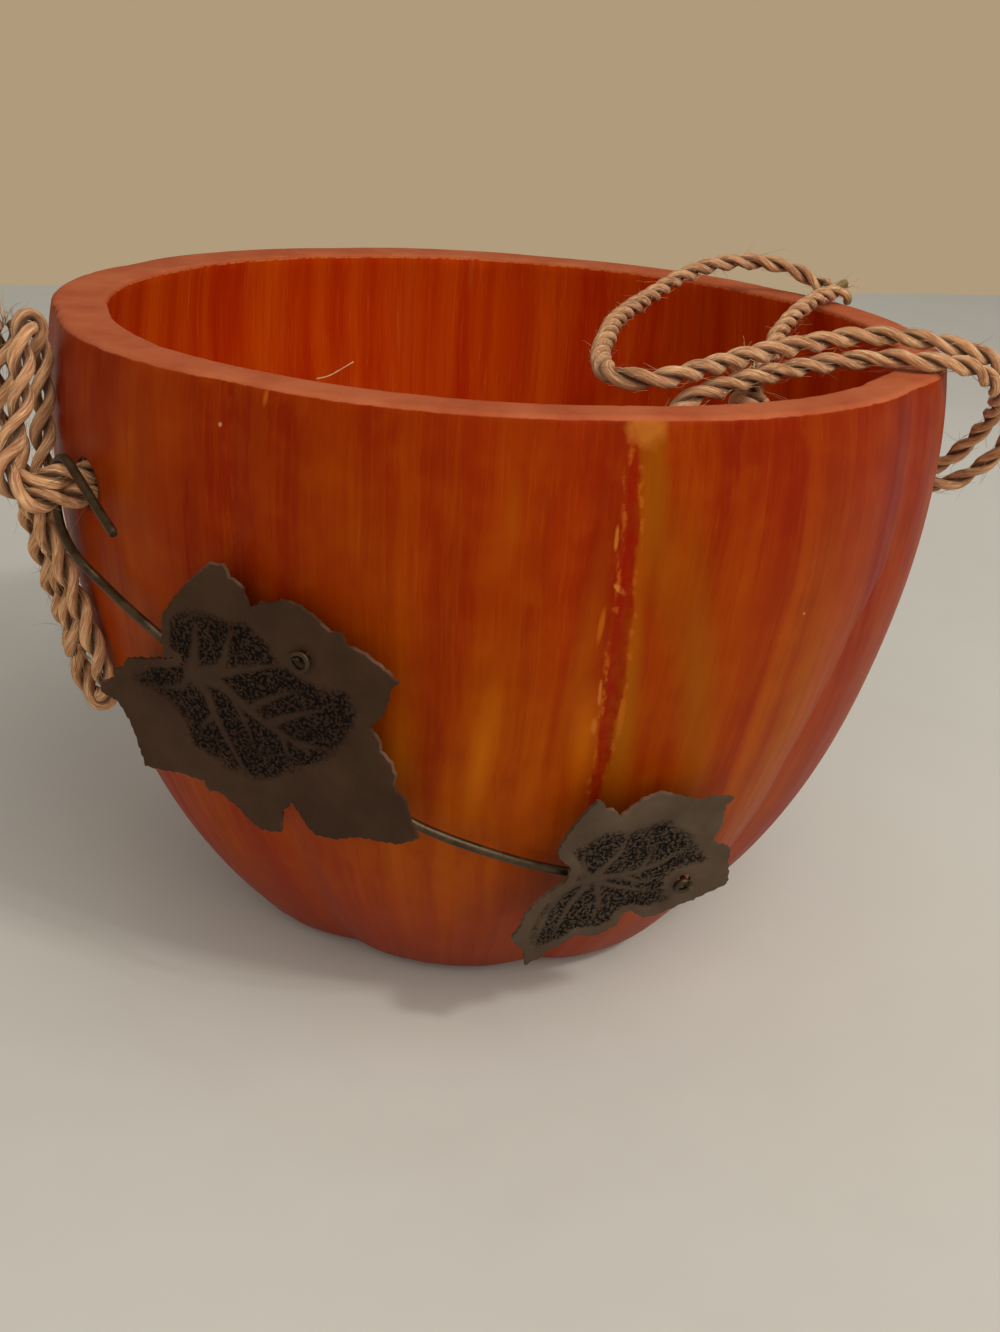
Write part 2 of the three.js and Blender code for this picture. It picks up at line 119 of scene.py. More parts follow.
# The leaves' outlines in their own planes.
LARGE_OUTLINE = [
    (-14.5, 8), (-17, 6.5), (-17, 12), (-16, 17.5), (-13, 21.5), (-8, 27), (-3, 31.5), (0.5, 32),
    (1.5, 29.5), (4, 28.5), (5, 25), (5.5, 24), (8, 26), (10, 26), (12.5, 27.5), (16.5, 27.5),
    (20.5, 25.5), (23, 23.5), (26, 23.5), (26.5, 21.5), (30, 21), (34, 19), (37.5, 16.5),
    (35.5, 14.5), (35, 11.5), (33, 7), (30.5, 5), (32.5, 2.5), (33, 0), (35, -2), (36, -4.5),
    (35.5, -8), (38, -10), (38.5, -13.5), (40.5, -18), (36, -21), (26.5, -22.5), (21, -25),
    (16.5, -25.5), (14, -23.5), (12.5, -21), (11, -19), (8.5, -22.5), (7.5, -28), (3, -29),
    (0, -27.5), (-3.5, -24.5), (-7.5, -22.5), (-10, -23.5), (-11, -21), (-17.5, -21), (-25, -22),
    (-26.5, -22), (-28, -14.5), (-29, -11), (-31.5, -7), (-35.5, -6), (-35.5, -3.5), (-31.5, -1.5),
    (-31, 0.5), (-28.5, 2), (-27, 4.5), (-22.5, 5.5),
]
SMALL_OUTLINE = [
    (-10, -14.5), (-11.5, -13.5), (-13.5, -11), (-14, -8.5), (-12.5, -4.5), (-10.5, 0), (-8, 4),
    (-7, 4), (-5.5, 1.5), (-3.5, 1), (-2, -1), (0.5, 1.5), (2.5, 3.5), (5, 4.5), (7, 4.5), (10, 3),
    (15.5, 1), (18.5, 2), (23, 1), (21.5, -1), (22, -6.5), (21, -11), (23.5, -13), (26, -14),
    (26.5, -18), (28, -23.5), (28, -25.5), (25.5, -27), (21, -29.5), (17, -31), (13.5, -33),
    (10.5, -33.5), (8.5, -32.5), (7, -31), (5.5, -30.5), (4.5, -32), (4, -34.5), (1.5, -36.5),
    (-1, -37.5), (-5, -36.5), (-6.5, -37.5), (-8.5, -39.5), (-10.5, -40), (-12.5, -42.5),
    (-15.5, -44.5), (-16.5, -40), (-20, -35), (-18.5, -31.5), (-18, -27.5), (-16.5, -25), (-14, -22),
    (-10.5, -18.5),
]
# The middle of the knot at the tail, as a place of a route.
TAIL_KNOT_AT = (46, -31.3, 142.2)

# Thicknesses, and the gap between pieces, in metres.
TWINE = 0.004
WIRE = 0.002
BRANCH = 0.0016
SHEET = 0.0008
GAP = 0.0003


def unit(v):
    return v / np.linalg.norm(v)


def outward(degrees):
    """The level direction away from the bowl's axis, at an angle from the front."""
    a = np.radians(degrees)
    return np.array([np.sin(a), -np.cos(a), 0 * a])


def wall_radius(z):
    """The wall's outline at a height, both in millimetres."""
    z = np.asarray(z, float)
    oval = np.where(z < BELLY_HEIGHT, OVAL_BELOW, OVAL_ABOVE)
    return BELLY_RADIUS * np.sqrt(1 - ((z - BELLY_HEIGHT) / oval) ** 2)


def beside(*places):
    """The points, in metres, of places on a route beside the wall."""
    return [outward(a) * (wall_radius(z) + out) * MM + [0, 0, z * MM] for a, out, z in places]


def spline(points, per=10):
    """A smooth line through points: the centripetal spline that the model's source uses."""
    p = np.array(points, float)
    p = np.vstack([2 * p[0] - p[1], p, 2 * p[-1] - p[-2]])
    line = []
    for a, b, c, d in zip(p, p[1:], p[2:], p[3:]):
        ta, tb, tc = (np.linalg.norm(v) ** 0.5 for v in (b - a, c - b, d - c))
        m = ((b - a) / ta - (c - a) / (ta + tb) + (c - b) / tb) * tb
        n = ((c - b) / tb - (d - b) / (tb + tc) + (d - c) / tc) * tb
        s = np.arange(per)[:, None] / per
        line.append(b + m * s + (3 * (c - b) - 2 * m - n) * s**2 + (2 * (b - c) + m + n) * s**3)
    return np.vstack(line + [p[-2]])


def spaced(line, step):
    """The same line with even steps, and its length."""
    run = np.concatenate([[0], np.cumsum(np.linalg.norm(np.diff(line, axis=0), axis=1))])
    at = np.linspace(0, run[-1], max(2, round(run[-1] / step) + 1))
    return np.stack([np.interp(at, run, line[:, k]) for k in range(3)], 1), run[-1]


def frames(line):
    """Tangents and two cross directions along a line, carried along it without twist."""
    tangent = np.gradient(line, axis=0)
    tangent /= np.linalg.norm(tangent, axis=1)[:, None]
    side = np.zeros_like(line)
    v = np.array([1e-3, 2e-3, 1])
    for i, t in enumerate(tangent):
        v = unit(v - t * (v @ t))
        side[i] = v
    return tangent, side, np.cross(tangent, side)


def smooth_noise(u, v, cells_u, cells_v, seed):
    """Smooth noise from -1 to 1 over u, which wraps at 1, and v from 0 to 1."""
    grid = np.random.default_rng(seed).uniform(-1, 1, (cells_u, cells_v + 2))
    x, y = (u % 1) * cells_u, np.clip(v, 0, 1) * cells_v
    i, j = np.floor(x).astype(int), np.floor(y).astype(int)
    fx, fy = (f * f * (3 - 2 * f) for f in (x - i, y - j))
    i0, i1 = i % cells_u, (i + 1) % cells_u
    low = grid[i0, j] * (1 - fx) + grid[i1, j] * fx
    high = grid[i0, j + 1] * (1 - fx) + grid[i1, j + 1] * fx
    return low * (1 - fy) + high * fy


def ease(x, a, b):
    """From 0 at a to 1 at b, level at both."""
    t = np.clip((x - a) / (b - a), 0, 1)
    return t * t * (3 - 2 * t)


def mesh_object(name, points, faces, smooth=True, sharp=None):
    mesh = bpy.data.meshes.new(name)
    mesh.from_pydata([tuple(p) for p in points], [], [tuple(f) for f in faces])
    mesh.polygons.foreach_set("use_smooth", [smooth] * len(mesh.polygons))
    if sharp:
        mesh.set_sharp_from_angle(angle=np.radians(sharp))
    mesh.update()
    obj = bpy.data.objects.new(name, mesh)
    bpy.context.scene.collection.objects.link(obj)
    return obj


def ring_faces(start, rings, sides):
    """The faces of a closed tube: its rings of points are followed by a point for each end."""
    k = np.arange(sides)
    n = (k + 1) % sides
    last, ends = start + (rings - 1) * sides, start + rings * sides
    faces = []
    for low in range(start, last, sides):
        faces += list(zip(low + k, low + n, low + sides + n, low + sides + k))
    faces += [(ends, start + q, start + p) for p, q in zip(k, n)]
    return faces + [(ends + 1, last + p, last + q) for p, q in zip(k, n)]


def paint(obj, **layers):
    """Store values for each point of a mesh, for a material to read by name."""
    for name, values in layers.items():
        layer = obj.data.attributes.new(name, "FLOAT", "POINT")
        layer.data.foreach_set("value", np.asarray(values, np.float32))


class Build:
    """Points and faces that grow, for pieces of many parts."""

    def __init__(self):
        self.points, self.faces, self.count, self.values = [], [], 0, {}

    def tube(self, line, radius, sides, round_ends=True, **values):
        """A tube with one radius, or a radius for each ring, or for each ring and side."""
        tangent, a, b = frames(line)
        angle = 2 * np.pi * np.arange(sides) / sides
        rings = len(line)
        radius = np.reshape(radius, (-1, 1)) if np.ndim(radius) < 2 else radius
        radius = np.broadcast_to(radius, (rings, sides))
        along_a, along_b = (radius * np.cos(angle))[..., None], (radius * np.sin(angle))[..., None]
        shell = line[:, None] + a[:, None] * along_a + b[:, None] * along_b
        bulge = 0.5 if round_ends else 0.0
        first = line[0] - tangent[0] * radius[0].mean() * bulge
        last = line[-1] + tangent[-1] * radius[-1].mean() * bulge
        self.points += [shell.reshape(-1, 3), [first, last]]
        for name, value in values.items():
            value = np.broadcast_to(value, (rings, sides))
            ends = [value[0].mean(), value[-1].mean()]
            self.values.setdefault(name, []).append(np.append(value, ends))
        self.faces += ring_faces(self.count, rings, sides)
        self.count += rings * sides + 2

    def make(self, name, **look):
        obj = mesh_object(name, np.vstack(self.points), self.faces, **look)
        paint(obj, **{key: np.concatenate(value) for key, value in self.values.items()})
        return obj


def colour(r, g, b):
    """A colour from 0 to 255, as the eye sees it, in the linear values that nodes take."""
    c = np.array([r, g, b]) / 255
    c = np.where(c <= 0.04045, c / 12.92, ((c + 0.055) / 1.055) ** 2.4)
    return (*(float(x) for x in c), 1.0)


class Nodes:
    """Short calls for the nodes of one tree."""

    def __init__(self, tree):
        self.tree = tree

    def put(self, socket, value):
        if isinstance(value, bpy.types.NodeSocket):
            self.tree.links.new(value, socket)
        else:
            socket.default_value = value

    def node(self, kind, inputs, out=0, **settings):
        node = self.tree.nodes.new("ShaderNode" + kind)
        for key, value in settings.items():
            setattr(node, key, value)
        for key, value in inputs.items():
            self.put(node.inputs[key], value)
        return node.outputs[out]

    def math(self, operation, a, b=0.0, clamp=False):
        return self.node("Math", {0: a, 1: b}, operation=operation, use_clamp=clamp)

    def add(self, a, b, clamp=False):
        return self.math("ADD", a, b, clamp)

    def times(self, value, *more):
        for other in more:
            value = self.math("MULTIPLY", value, other)
        return value

    def swing(self, value, by):
        """How far a value lies above a half, times a factor."""
        return self.times(self.add(value, -0.5), by)

    def vector(self, operation, a, b):
        return self.node("VectorMath", {0: a, 1: b}, operation=operation)

    def scaled(self, vector, by):
        return self.node("VectorMath", {0: vector, "Scale": by}, operation="SCALE")

    def joined(self, x, y, z):
        return self.node("CombineXYZ", {0: x, 1: y, 2: z})

    def span(self, value, low, high, to_low=0.0, to_high=1.0):
        inputs = {0: value, 1: low, 2: high, 3: to_low, 4: to_high}
        return self.node("MapRange", inputs, clamp=True)

    def mix(self, share, a, b):
        """A mix of two colours. Three plain numbers are a tone from 0 to 255."""
        a, b = (colour(*c) if isinstance(c, tuple) and len(c) == 3 else c for c in (a, b))
        return self.node("Mix", {0: share, 6: a, 7: b}, 2, data_type="RGBA")

    def over(self, base, *coats):
        """Coats over a colour: each a value, where it starts to show and is full, its share and tone."""
        for value, start, full, share, tone in coats:
            base = self.mix(self.span(value, start, full, 0.0, share), base, tone)
        return base

    def read(self, name):
        return self.node("Attribute", {}, "Fac", attribute_name=name)

    def bump(self, height, distance, strength):
        return self.node("Bump", {"Height": height, "Distance": distance, "Strength": strength})


class Look(Nodes):
    """A procedural material."""

    def __init__(self, name, **plain):
        self.material = bpy.data.materials.new(name)
        self.material.use_nodes = True
        super().__init__(self.material.node_tree)
        self.place = self.node("TexCoord", {}, "Object")
        self.set(**plain)

    def noise(self, scale, detail=3.0, rough=0.5, place=None, out=0):
        inputs = {"Vector": place or self.place, "Scale": scale, "Detail": detail, "Roughness": rough}
        return self.node("TexNoise", inputs, out)

    def set(self, **values):
        shader = self.tree.nodes["Principled BSDF"]
        for socket, value in values.items():
            self.put(shader.inputs[socket.replace("_", " ")], value)
        return self.material


def add_camera():
    """The camera of the photograph: pitched down, then rolled about its own line of sight."""
    data = bpy.data.cameras.new("camera")
    data.sensor_fit = "VERTICAL"
    data.sensor_height = 36
    data.lens = data.sensor_height * PHOTO_FOCUS / PHOTO_SIZE[1]
    data.clip_start = 0.01
    camera = bpy.data.objects.new("camera", data)
    pitch = Matrix.Rotation(np.radians(90 - CAMERA_PITCH), 4, "X")
    roll = Matrix.Rotation(np.radians(CAMERA_ROLL), 4, "Z")
    camera.matrix_world = Matrix.Translation(CAMERA_AT) @ pitch @ roll
    bpy.context.scene.collection.objects.link(camera)
    bpy.context.scene.camera = camera


add_camera()


# Twine: two plies that wind round each other, with loose fibres.
LAY = 16 * MM
PLY_LAY = 2.2 * LAY
PLY_OFFSET = 0.26 * TWINE
PLY_RADIUS = 0.275 * TWINE
PLY_SIDES = 20
RING_STEP = 0.5 * MM
RIDGES = 6
# Millimetres of twine for each loose fibre that lies on it.
LYING_GAP = 0.6


def twine_mesh(name, line, seed, spread=PLY_OFFSET, part_by=0.0, part_over=5 * MM, fat=1.0, tip=0.0):
    """Two plies, which part towards the cut end, each with ridges that run a little across it."""
    rng = np.random.default_rng(seed)
    build = Build()
    n = len(line)
    run = np.arange(n)[:, None] * RING_STEP
    _, a, b = frames(line)
    turn = rng.uniform(0, 6.28) + 2 * np.pi * run / LAY
    off = spread * (1 + part_by * ease(run, run[-1] - part_over, run[-1]))
    off = off * (a * np.cos(turn) + b * np.sin(turn))
    theta = 2 * np.pi * np.arange(PLY_SIDES) / PLY_SIDES
    lie = theta - 2 * np.pi * run / PLY_LAY
    for ply in (line + off, line - off):
        _, a, b = frames(ply)
        inward = line - ply
        inward /= np.linalg.norm(inward, axis=1)[:, None]
        # Painted shade: how far each point of a ply faces the other ply, where the twine's colour is
        # darkened between the plies.
        deep = np.cos(theta) * (a * inward).sum(1)[:, None] + np.sin(theta) * (b * inward).sum(1)[:, None]
        knots = max(4, n // 9)
        lumps = np.interp(run, np.linspace(0, run[-1, 0], knots), rng.uniform(-1, 1, knots))
        along = np.broadcast_to(run / run[-1], (n, PLY_SIDES))
        ridges = smooth_noise(lie / (2 * np.pi), along, 13, knots, seed + 7)
        fine = rng.normal(0, 0.012, (n, PLY_SIDES))
        fluted = 0.04 * np.abs(np.cos(lie * RIDGES / 2))
        radius = fat * PLY_RADIUS * (1 + fluted + 0.1 * lumps + 0.13 * ridges + fine)
        build.tube(
            ply, radius, PLY_SIDES, mark=rng.uniform(), deep=deep, along=run / MM, over=np.cos(lie),
            aside=np.sin(lie), tip=tip * ease(run, run[-1] - 4 * MM, run[-1] - 1.5 * MM),
        )
    return build.make(name)


def loose_fibres(name, line, seed, gap, ends):
    """Fine fibres that lie on the twine or stand off it, one for each gap, and a spray at each end."""
    rng = np.random.default_rng(seed)
    build = Build()
    tangent, a, b = frames(line)
    length = np.linalg.norm(np.diff(line, axis=0), axis=1).sum()

    def fibre(start, way, long, thick, curved=1.0):
        """A fibre of six rings that bends to one side and thins out."""
        bend = rng.normal(0, curved, 3)
        bend = bend - way * (bend @ way)
        s = np.linspace(0, 1, 6)[:, None]
        points = start + way * s * long + bend * 0.28 * long * s**2
        points = points + rng.normal(0, 0.03 * long, (6, 3)) * s
        build.tube(points, thick * np.linspace(1, 0.35, 6), 3, False, mark=rng.uniform())

    def somewhere():
        """A random ring of the line, and a random direction away from it."""
        i = rng.integers(1, len(line) - 1)
        angle = rng.uniform(0, 6.28)
        return i, a[i] * np.cos(angle) + b[i] * np.sin(angle)

    for _ in range(int(length / MM / LYING_GAP)):
        i, out = somewhere()
        across = np.cross(tangent[i], out)
        way = tangent[i] * rng.choice([-1, 1]) + across * rng.normal(0, 0.25) + out * rng.uniform(0, 0.12)
        start = line[i] + out * rng.uniform(0.4, 0.5) * TWINE
        fibre(start, unit(way), rng.uniform(2, 5) * MM, rng.uniform(0.04, 0.085) * MM, 0.35)
    for _ in range(int(length / MM / gap)):
        i, out = somewhere()
        way = out * rng.uniform(0.15, 0.8) + tangent[i] * rng.choice([-1, 1]) * rng.uniform(0.5, 1)
        long = (1.5 + 7 * rng.random() ** 2.2) * MM
        fibre(line[i] + out * 0.42 * TWINE, unit(way), long, rng.uniform(0.045, 0.08) * MM)
    for at, way, count, reach in ends:
        side = unit(np.cross(way, [0.3, 0.2, 0.9]))
        over = np.cross(way, side)
        for _ in range(count):
            angle = rng.uniform(0, 6.28)
            out = side * np.cos(angle) + over * np.sin(angle)
            start = at + out * rng.uniform(0, 0.45) * TWINE - way * 0.5 * MM
            lean = unit(way + out * rng.uniform(0, 0.5))
            fibre(start, lean, reach * rng.uniform(0.4, 1) * MM, rng.uniform(0.06, 0.12) * MM)
    return build.make(name)


def knot(name, centre, axis, reach, depth, seed):
    """An overhand knot pulled tight: a three-lobed line that crosses itself."""
    s = np.linspace(0, 2 * np.pi, 90, endpoint=False)[:, None]
    side = unit(np.cross(axis, [0.1, 0.05, 1]))
    over = np.cross(axis, side)
    r = reach * (0.62 + 0.38 * np.cos(3 * s))
    line = centre + r * (side * np.cos(2 * s) + over * np.sin(2 * s)) + axis * depth * np.sin(3 * s)
    return twine_mesh(name, spaced(np.vstack([line, line[:2]]), RING_STEP)[0], seed)


# The wall's two faces, in millimetres.
def crease_places(z):
    """Where each crease stands at each height: the carver's lines wander a little on the front."""
    places = np.repeat(CREASES[:, None], z.size, 1)
    places[1] += np.interp(z, [0, 148], [3.5, 0])
    places[2] += np.interp(z, [0, 148], [2.5, 0])
    places[3] += np.interp(z, [0, 35, 66, 95, 111, 148], [-1, -1.3, -3, 1, 6, 6])
    for i, swing in ((0, 1.5), (4, -1.2), (5, 1.6), (6, -1.4), (7, 1.2), (8, -1.6)):
        places[i] += swing * np.sin(z / 30 + i)
    places[9] = places[0] + 360
    return places


def across_lobe(angle, z):
    """For points of the wall: the share of the way across the lobe, millimetres to the nearer crease,
    and which crease that is."""
    places = crease_places(z)
    angle = (angle - places[0]) % 360 + places[0]
    lobe = np.clip((angle[None, :] >= places).sum(0) - 1, 0, LOBES - 1)
    k = np.arange(angle.size)
    low, high = places[lobe, k], places[lobe + 1, k]
    arc = wall_radius(z) * np.radians(1)
    left, right = (angle - low) * arc, (high - angle) * arc
    near = np.where(left < right, lobe, (lobe + 1) % LOBES)
    return (angle - low) / (high - low), np.where(left < right, left, -right), near


def crease_depth(z):
    return 3.4 - 1.4 * z / RIM_HEIGHT


def valley(share):
    """How deep in the crease a share of the lobe lies, from 0 mid-lobe to about 0.8 in the crease."""
    return (1.005 - np.hypot(1 - np.abs(2 * share - 1), 0.08)) ** 3


def thickness(angle):
    return 12.2 - 2.6 * np.cos(np.radians(angle - 25))


# How deep the narrow groove is cut in each crease, and how wide its dark stain is.
GROOVE_CUT = np.array([0.1, 0.08, 0.32, 0.1, 0.2, 0.16, 0.24, 0.14, 0.18])
SEAM = np.array([0.3, 0.2, 1, 0.2, 0.5, 0.4, 0.6, 0.35, 0.45])
# Stains of the wall: upper and lower place (angle, height), half width, tone, share and softness.
OLIVE, GOLD, BARE = (142, 76, 2), (158, 74, 2), (186, 108, 38)
STAINS = [
    ((16.9, 151), (17.3, 126), 2.3, OLIVE, 0.65, 0.6),
    ((17.9, 134), (20.2, 108), 2.3, OLIVE, 0.5, 0.8),
    ((16.2, 134), (17.6, 88), 1.6, GOLD, 0.6, 0.7),
    ((16.8, 104), (18.6, 66), 2.4, (154, 90, 4), 0.55, 0.7),
    ((12.4, 118), (11.2, 84), 2.0, GOLD, 0.5, 0.8),
    ((21.9, 122), (28.2, 70), 3.2, OLIVE, 0.6, 0.8),
    ((3.2, 137), (3.4, 124), 1.2, GOLD, 0.4, 0.7),
    ((2.5, 92), (1.2, 66), 1.8, (190, 104, 6), 0.5, 0.8),
    ((-7, 86), (-8, 66), 2.2, (190, 104, 6), 0.4, 0.8),
    ((13.2, 92), (13.4, 74), 2.2, (188, 100, 4), 0.5, 0.7),
    ((16.3, 149.6), (16.0, 143.4), 3.6, BARE, 0.6, 0.38),
    ((13.9, 128.6), (13.9, 124), 0.4, BARE, 0.7, 0.3),
    ((15.1, 116.8), (14.6, 115.8), 1.6, (196, 124, 60), 0.8, 0.35),
    ((14.2, 96.5), (14.4, 91.5), 0.4, BARE, 0.7, 0.3),
    ((-22.3, 147.9), (-22.5, 144.9), 0.5, (184, 96, 24), 0.7, 0.5),
    ((-27.8, 140.2), (-27.9, 139.4), 0.35, (206, 150, 104), 0.7, 0.4),
    ((13.4, 112), (13.2, 106), 0.5, (176, 88, 16), 0.7, 0.4),
    ((17.2, 92), (17.4, 84), 0.5, (180, 92, 18), 0.6, 0.4),
    ((15.2, 80), (15.6, 74), 0.5, (184, 94, 20), 0.6, 0.4),
    ((14.2, 88), (14.4, 84.5), 0.6, BARE, 0.6, 0.35),
]
HALF_LOBE_STEPS = 26
OUTER_ROWS = 92
INNER_ROWS = 58


def outer_face(angle, z):
    share, to_crease, near = across_lobe(angle, z)
    u, v = angle / 360, z / RIM_HEIGHT
    ragged = 1 + 0.5 * smooth_noise(u, v, 9, 40, 3)
    shift = 0.5 * smooth_noise(u, v, 9, 26, 4)
    groove = GROOVE_CUT[near] * ragged * np.exp(-(((to_crease - shift) / 0.95) ** 2))
    groove *= ease(z, 4, 16) * ease(-z, -145, -128)
    hand = 0.3 * smooth_noise(u, v, 22, 4, 5) + 0.09 * smooth_noise(u, v, 110, 5, 6)
    chips = np.clip(smooth_noise(u, z * 0, 210, 1, 11) - 0.45, 0, 1)
    chips = 0.8 * chips * ease(z, RIM_HEIGHT - 3, RIM_HEIGHT - 0.4)
    return wall_radius(z) - crease_depth(z) * valley(share) - groove + hand - chips


def inner_face(angle, z, share):
    u, v = angle / 360, z / RIM_HEIGHT
    hand = 0.3 * smooth_noise(u, v, 18, 4, 7) + 0.12 * smooth_noise(u, v, 120, 4, 8)
    chips = np.clip(smooth_noise(u, z * 0, 170, 1, 12) - 0.4, 0, 1)
    chips = 0.9 * chips * ease(z, RIM_HEIGHT - 3.5, RIM_HEIGHT - 0.4)
    return wall_radius(z) - thickness(angle) - 0.4 * crease_depth(z) * valley(share) + hand + chips


def bowl_shell():
    """One closed shell of rings, from the foot over the rim to the middle of the floor."""
    t = np.arange(HALF_LOBE_STEPS) / HALF_LOBE_STEPS
    half = (0.3 * t + 0.7 * t**2.2) / 2
    shares = np.concatenate([half, 1 - np.concatenate([[0.5], half[:0:-1]])])
    lobe, share = np.repeat(np.arange(LOBES), shares.size), np.tile(shares, LOBES)
    k = np.arange(share.size)
    edge = RIM_HEIGHT - RIM_ROUND
    rings = []

    def ring(z, outside, inset=0.0):
        z = np.full(share.size, float(z))
        places = crease_places(z)
        angle = places[lobe, k] * (1 - share) + places[lobe + 1, k] * share
        radius = (outer_face(angle, z) if outside else inner_face(angle, z, share)) - inset
        a = np.radians(angle)
        rings.append(np.stack([np.sin(a) * radius, -np.cos(a) * radius, z], 1))

    for turn in np.pi / 2 * np.arange(6) / 6:
        ring(FOOT_ROUND * (1 - np.cos(turn)), True, FOOT_ROUND * (1 - np.sin(turn)))
    for z in (*np.linspace(FOOT_ROUND, edge - 2.4, OUTER_ROWS), *np.linspace(edge - 1.8, edge, 4)):
        ring(z, True)
    for turn in np.radians([30, 60, 90]):
        ring(edge + RIM_ROUND * np.sin(turn), True, RIM_ROUND * (1 - np.cos(turn)))
    outer_edge = rings[-1]
    ring(RIM_HEIGHT, False, -RIM_ROUND)
    inner_edge = rings.pop()
    rings += [outer_edge * (1 - f) + inner_edge * f for f in np.linspace(0, 1, 9)[1:]]
    for turn in np.radians([60, 30, 0]):
        ring(edge + RIM_ROUND * np.sin(turn), False, -RIM_ROUND * (1 - np.cos(turn)))
    start = FLOOR_HEIGHT + FLOOR_ROUND
    for z in np.linspace(edge, start, INNER_ROWS)[1:]:
        ring(z, False)
    for turn in np.radians(np.linspace(0, 90, 9)[1:]):
        ring(start - FLOOR_ROUND * np.sin(turn), False, FLOOR_ROUND * (1 - np.cos(turn)))
    floor_edge = rings[-1]
    for f in (0.85, 0.7, 0.55, 0.4, 0.25, 0.1):
        rings.append(floor_edge * [f, f, 1] + [0, 0, 0.12 * np.sin(f * 40)])
    points = np.vstack(rings + [[[0, 0, 0], [0, 0, FLOOR_HEIGHT]]]) * MM
    return mesh_object("bowl_wood", points, ring_faces(0, len(rings), share.size))


def plain_faces(hole):
    """The radii of the wall's two faces at a hole, in millimetres, by the plain formula."""
    angle, z = HOLES[hole]
    a = (angle - CREASES[0]) % 360 + CREASES[0]
    i = (a >= CREASES).sum() - 1
    dip = crease_depth(z) * abs(2 * (a - CREASES[i]) / (CREASES[i + 1] - CREASES[i]) - 1) ** 3
    return wall_radius(z) - thickness(angle) - 0.4 * dip, wall_radius(z) - dip


def drill_holes(obj):
    """Cut the two holes, each eased a little where it leaves the wall."""
    for hole, (angle, height) in enumerate(HOLES):
        inner, outer = plain_faces(hole)
        at = np.array([inner - 4, inner - 0.2, inner + 0.5, outer - 0.5, outer + 0.2, outer + 4])
        radius = HOLE_RADIUS + np.array([HOLE_EASE, 0.5, 0, 0, 0.45, HOLE_EASE])
        cutter = Build()
        cutter.tube(np.outer(at * MM, outward(angle)) + [0, 0, height * MM], radius * MM, 40, False)
        tool = cutter.make("drill")
        cut = obj.modifiers.new("hole", "BOOLEAN")
        cut.object, cut.operation, cut.solver = tool, "DIFFERENCE", "EXACT"
        depsgraph = bpy.context.evaluated_depsgraph_get()
        mesh = bpy.data.meshes.new_from_object(obj.evaluated_get(depsgraph))
        obj.modifiers.clear()
        obj.data = mesh
        bpy.data.objects.remove(tool)


def paint_bowl(obj):
    """Values that the wood's material reads: nearness to a crease, the rim, the inside and the stain."""
    points = np.array([v.co for v in obj.data.vertices], np.float32)
    x, y, z = (points / MM).T.astype(float)
    angle = np.degrees(np.arctan2(x, -y))
    height = np.clip(z, 0, RIM_HEIGHT)
    _, to_crease, near = across_lobe(angle, height)
    inside = (np.hypot(x, y) < wall_radius(height) - thickness(angle) / 2) & (z > FLOOR_HEIGHT - 2)
    seam = np.interp(z, [8, 50, 76, 95, 119, 138, 143, 145], [0.4, 1.0, 1.35, 2.0, 1.4, 1.0, 0.5, -1])

    def patch(at, up, wide, tall):
        da = (angle - at + 180) % 360 - 180
        return np.exp(-((da / wide) ** 2) - ((z - up) / tall) ** 2)

    orange = patch(2, 62, 24, 45) + 0.8 * patch(38, 70, 13, 50) + 0.5 * patch(-38, 60, 12, 40)
    orange += sum(0.8 * patch(a, 70, 15, 50) for a in (75, 115, 152, 190, 232, 268))
    olive = sum(0.6 * patch(a, 85, 4, 40) for a in (40, 98, 138, 178, 219, 259))
    # How near each point lies to a hole's bore, where the wood is darkened as painted shade.
    hole = np.zeros(len(x))
    for a, h in HOLES:
        out = outward(a)
        off = np.hypot(x * out[1] - y * out[0], z - h)
        near_side = x * out[0] + y * out[1] > 0
        hole = np.maximum(hole, (1 - ease(off, HOLE_RADIUS, HOLE_RADIUS + HOLE_EASE)) * near_side)
    paint(
        obj, groove=to_crease, cut=GROOVE_CUT[near], seam=seam * SEAM[near], inside=inside, height=z,
        rim=ease(z, RIM_HEIGHT - 1.0, RIM_HEIGHT - 0.35), orange=np.clip(orange, 0, 1),
        olive=np.clip(olive, 0, 1), hole=hole,
    )


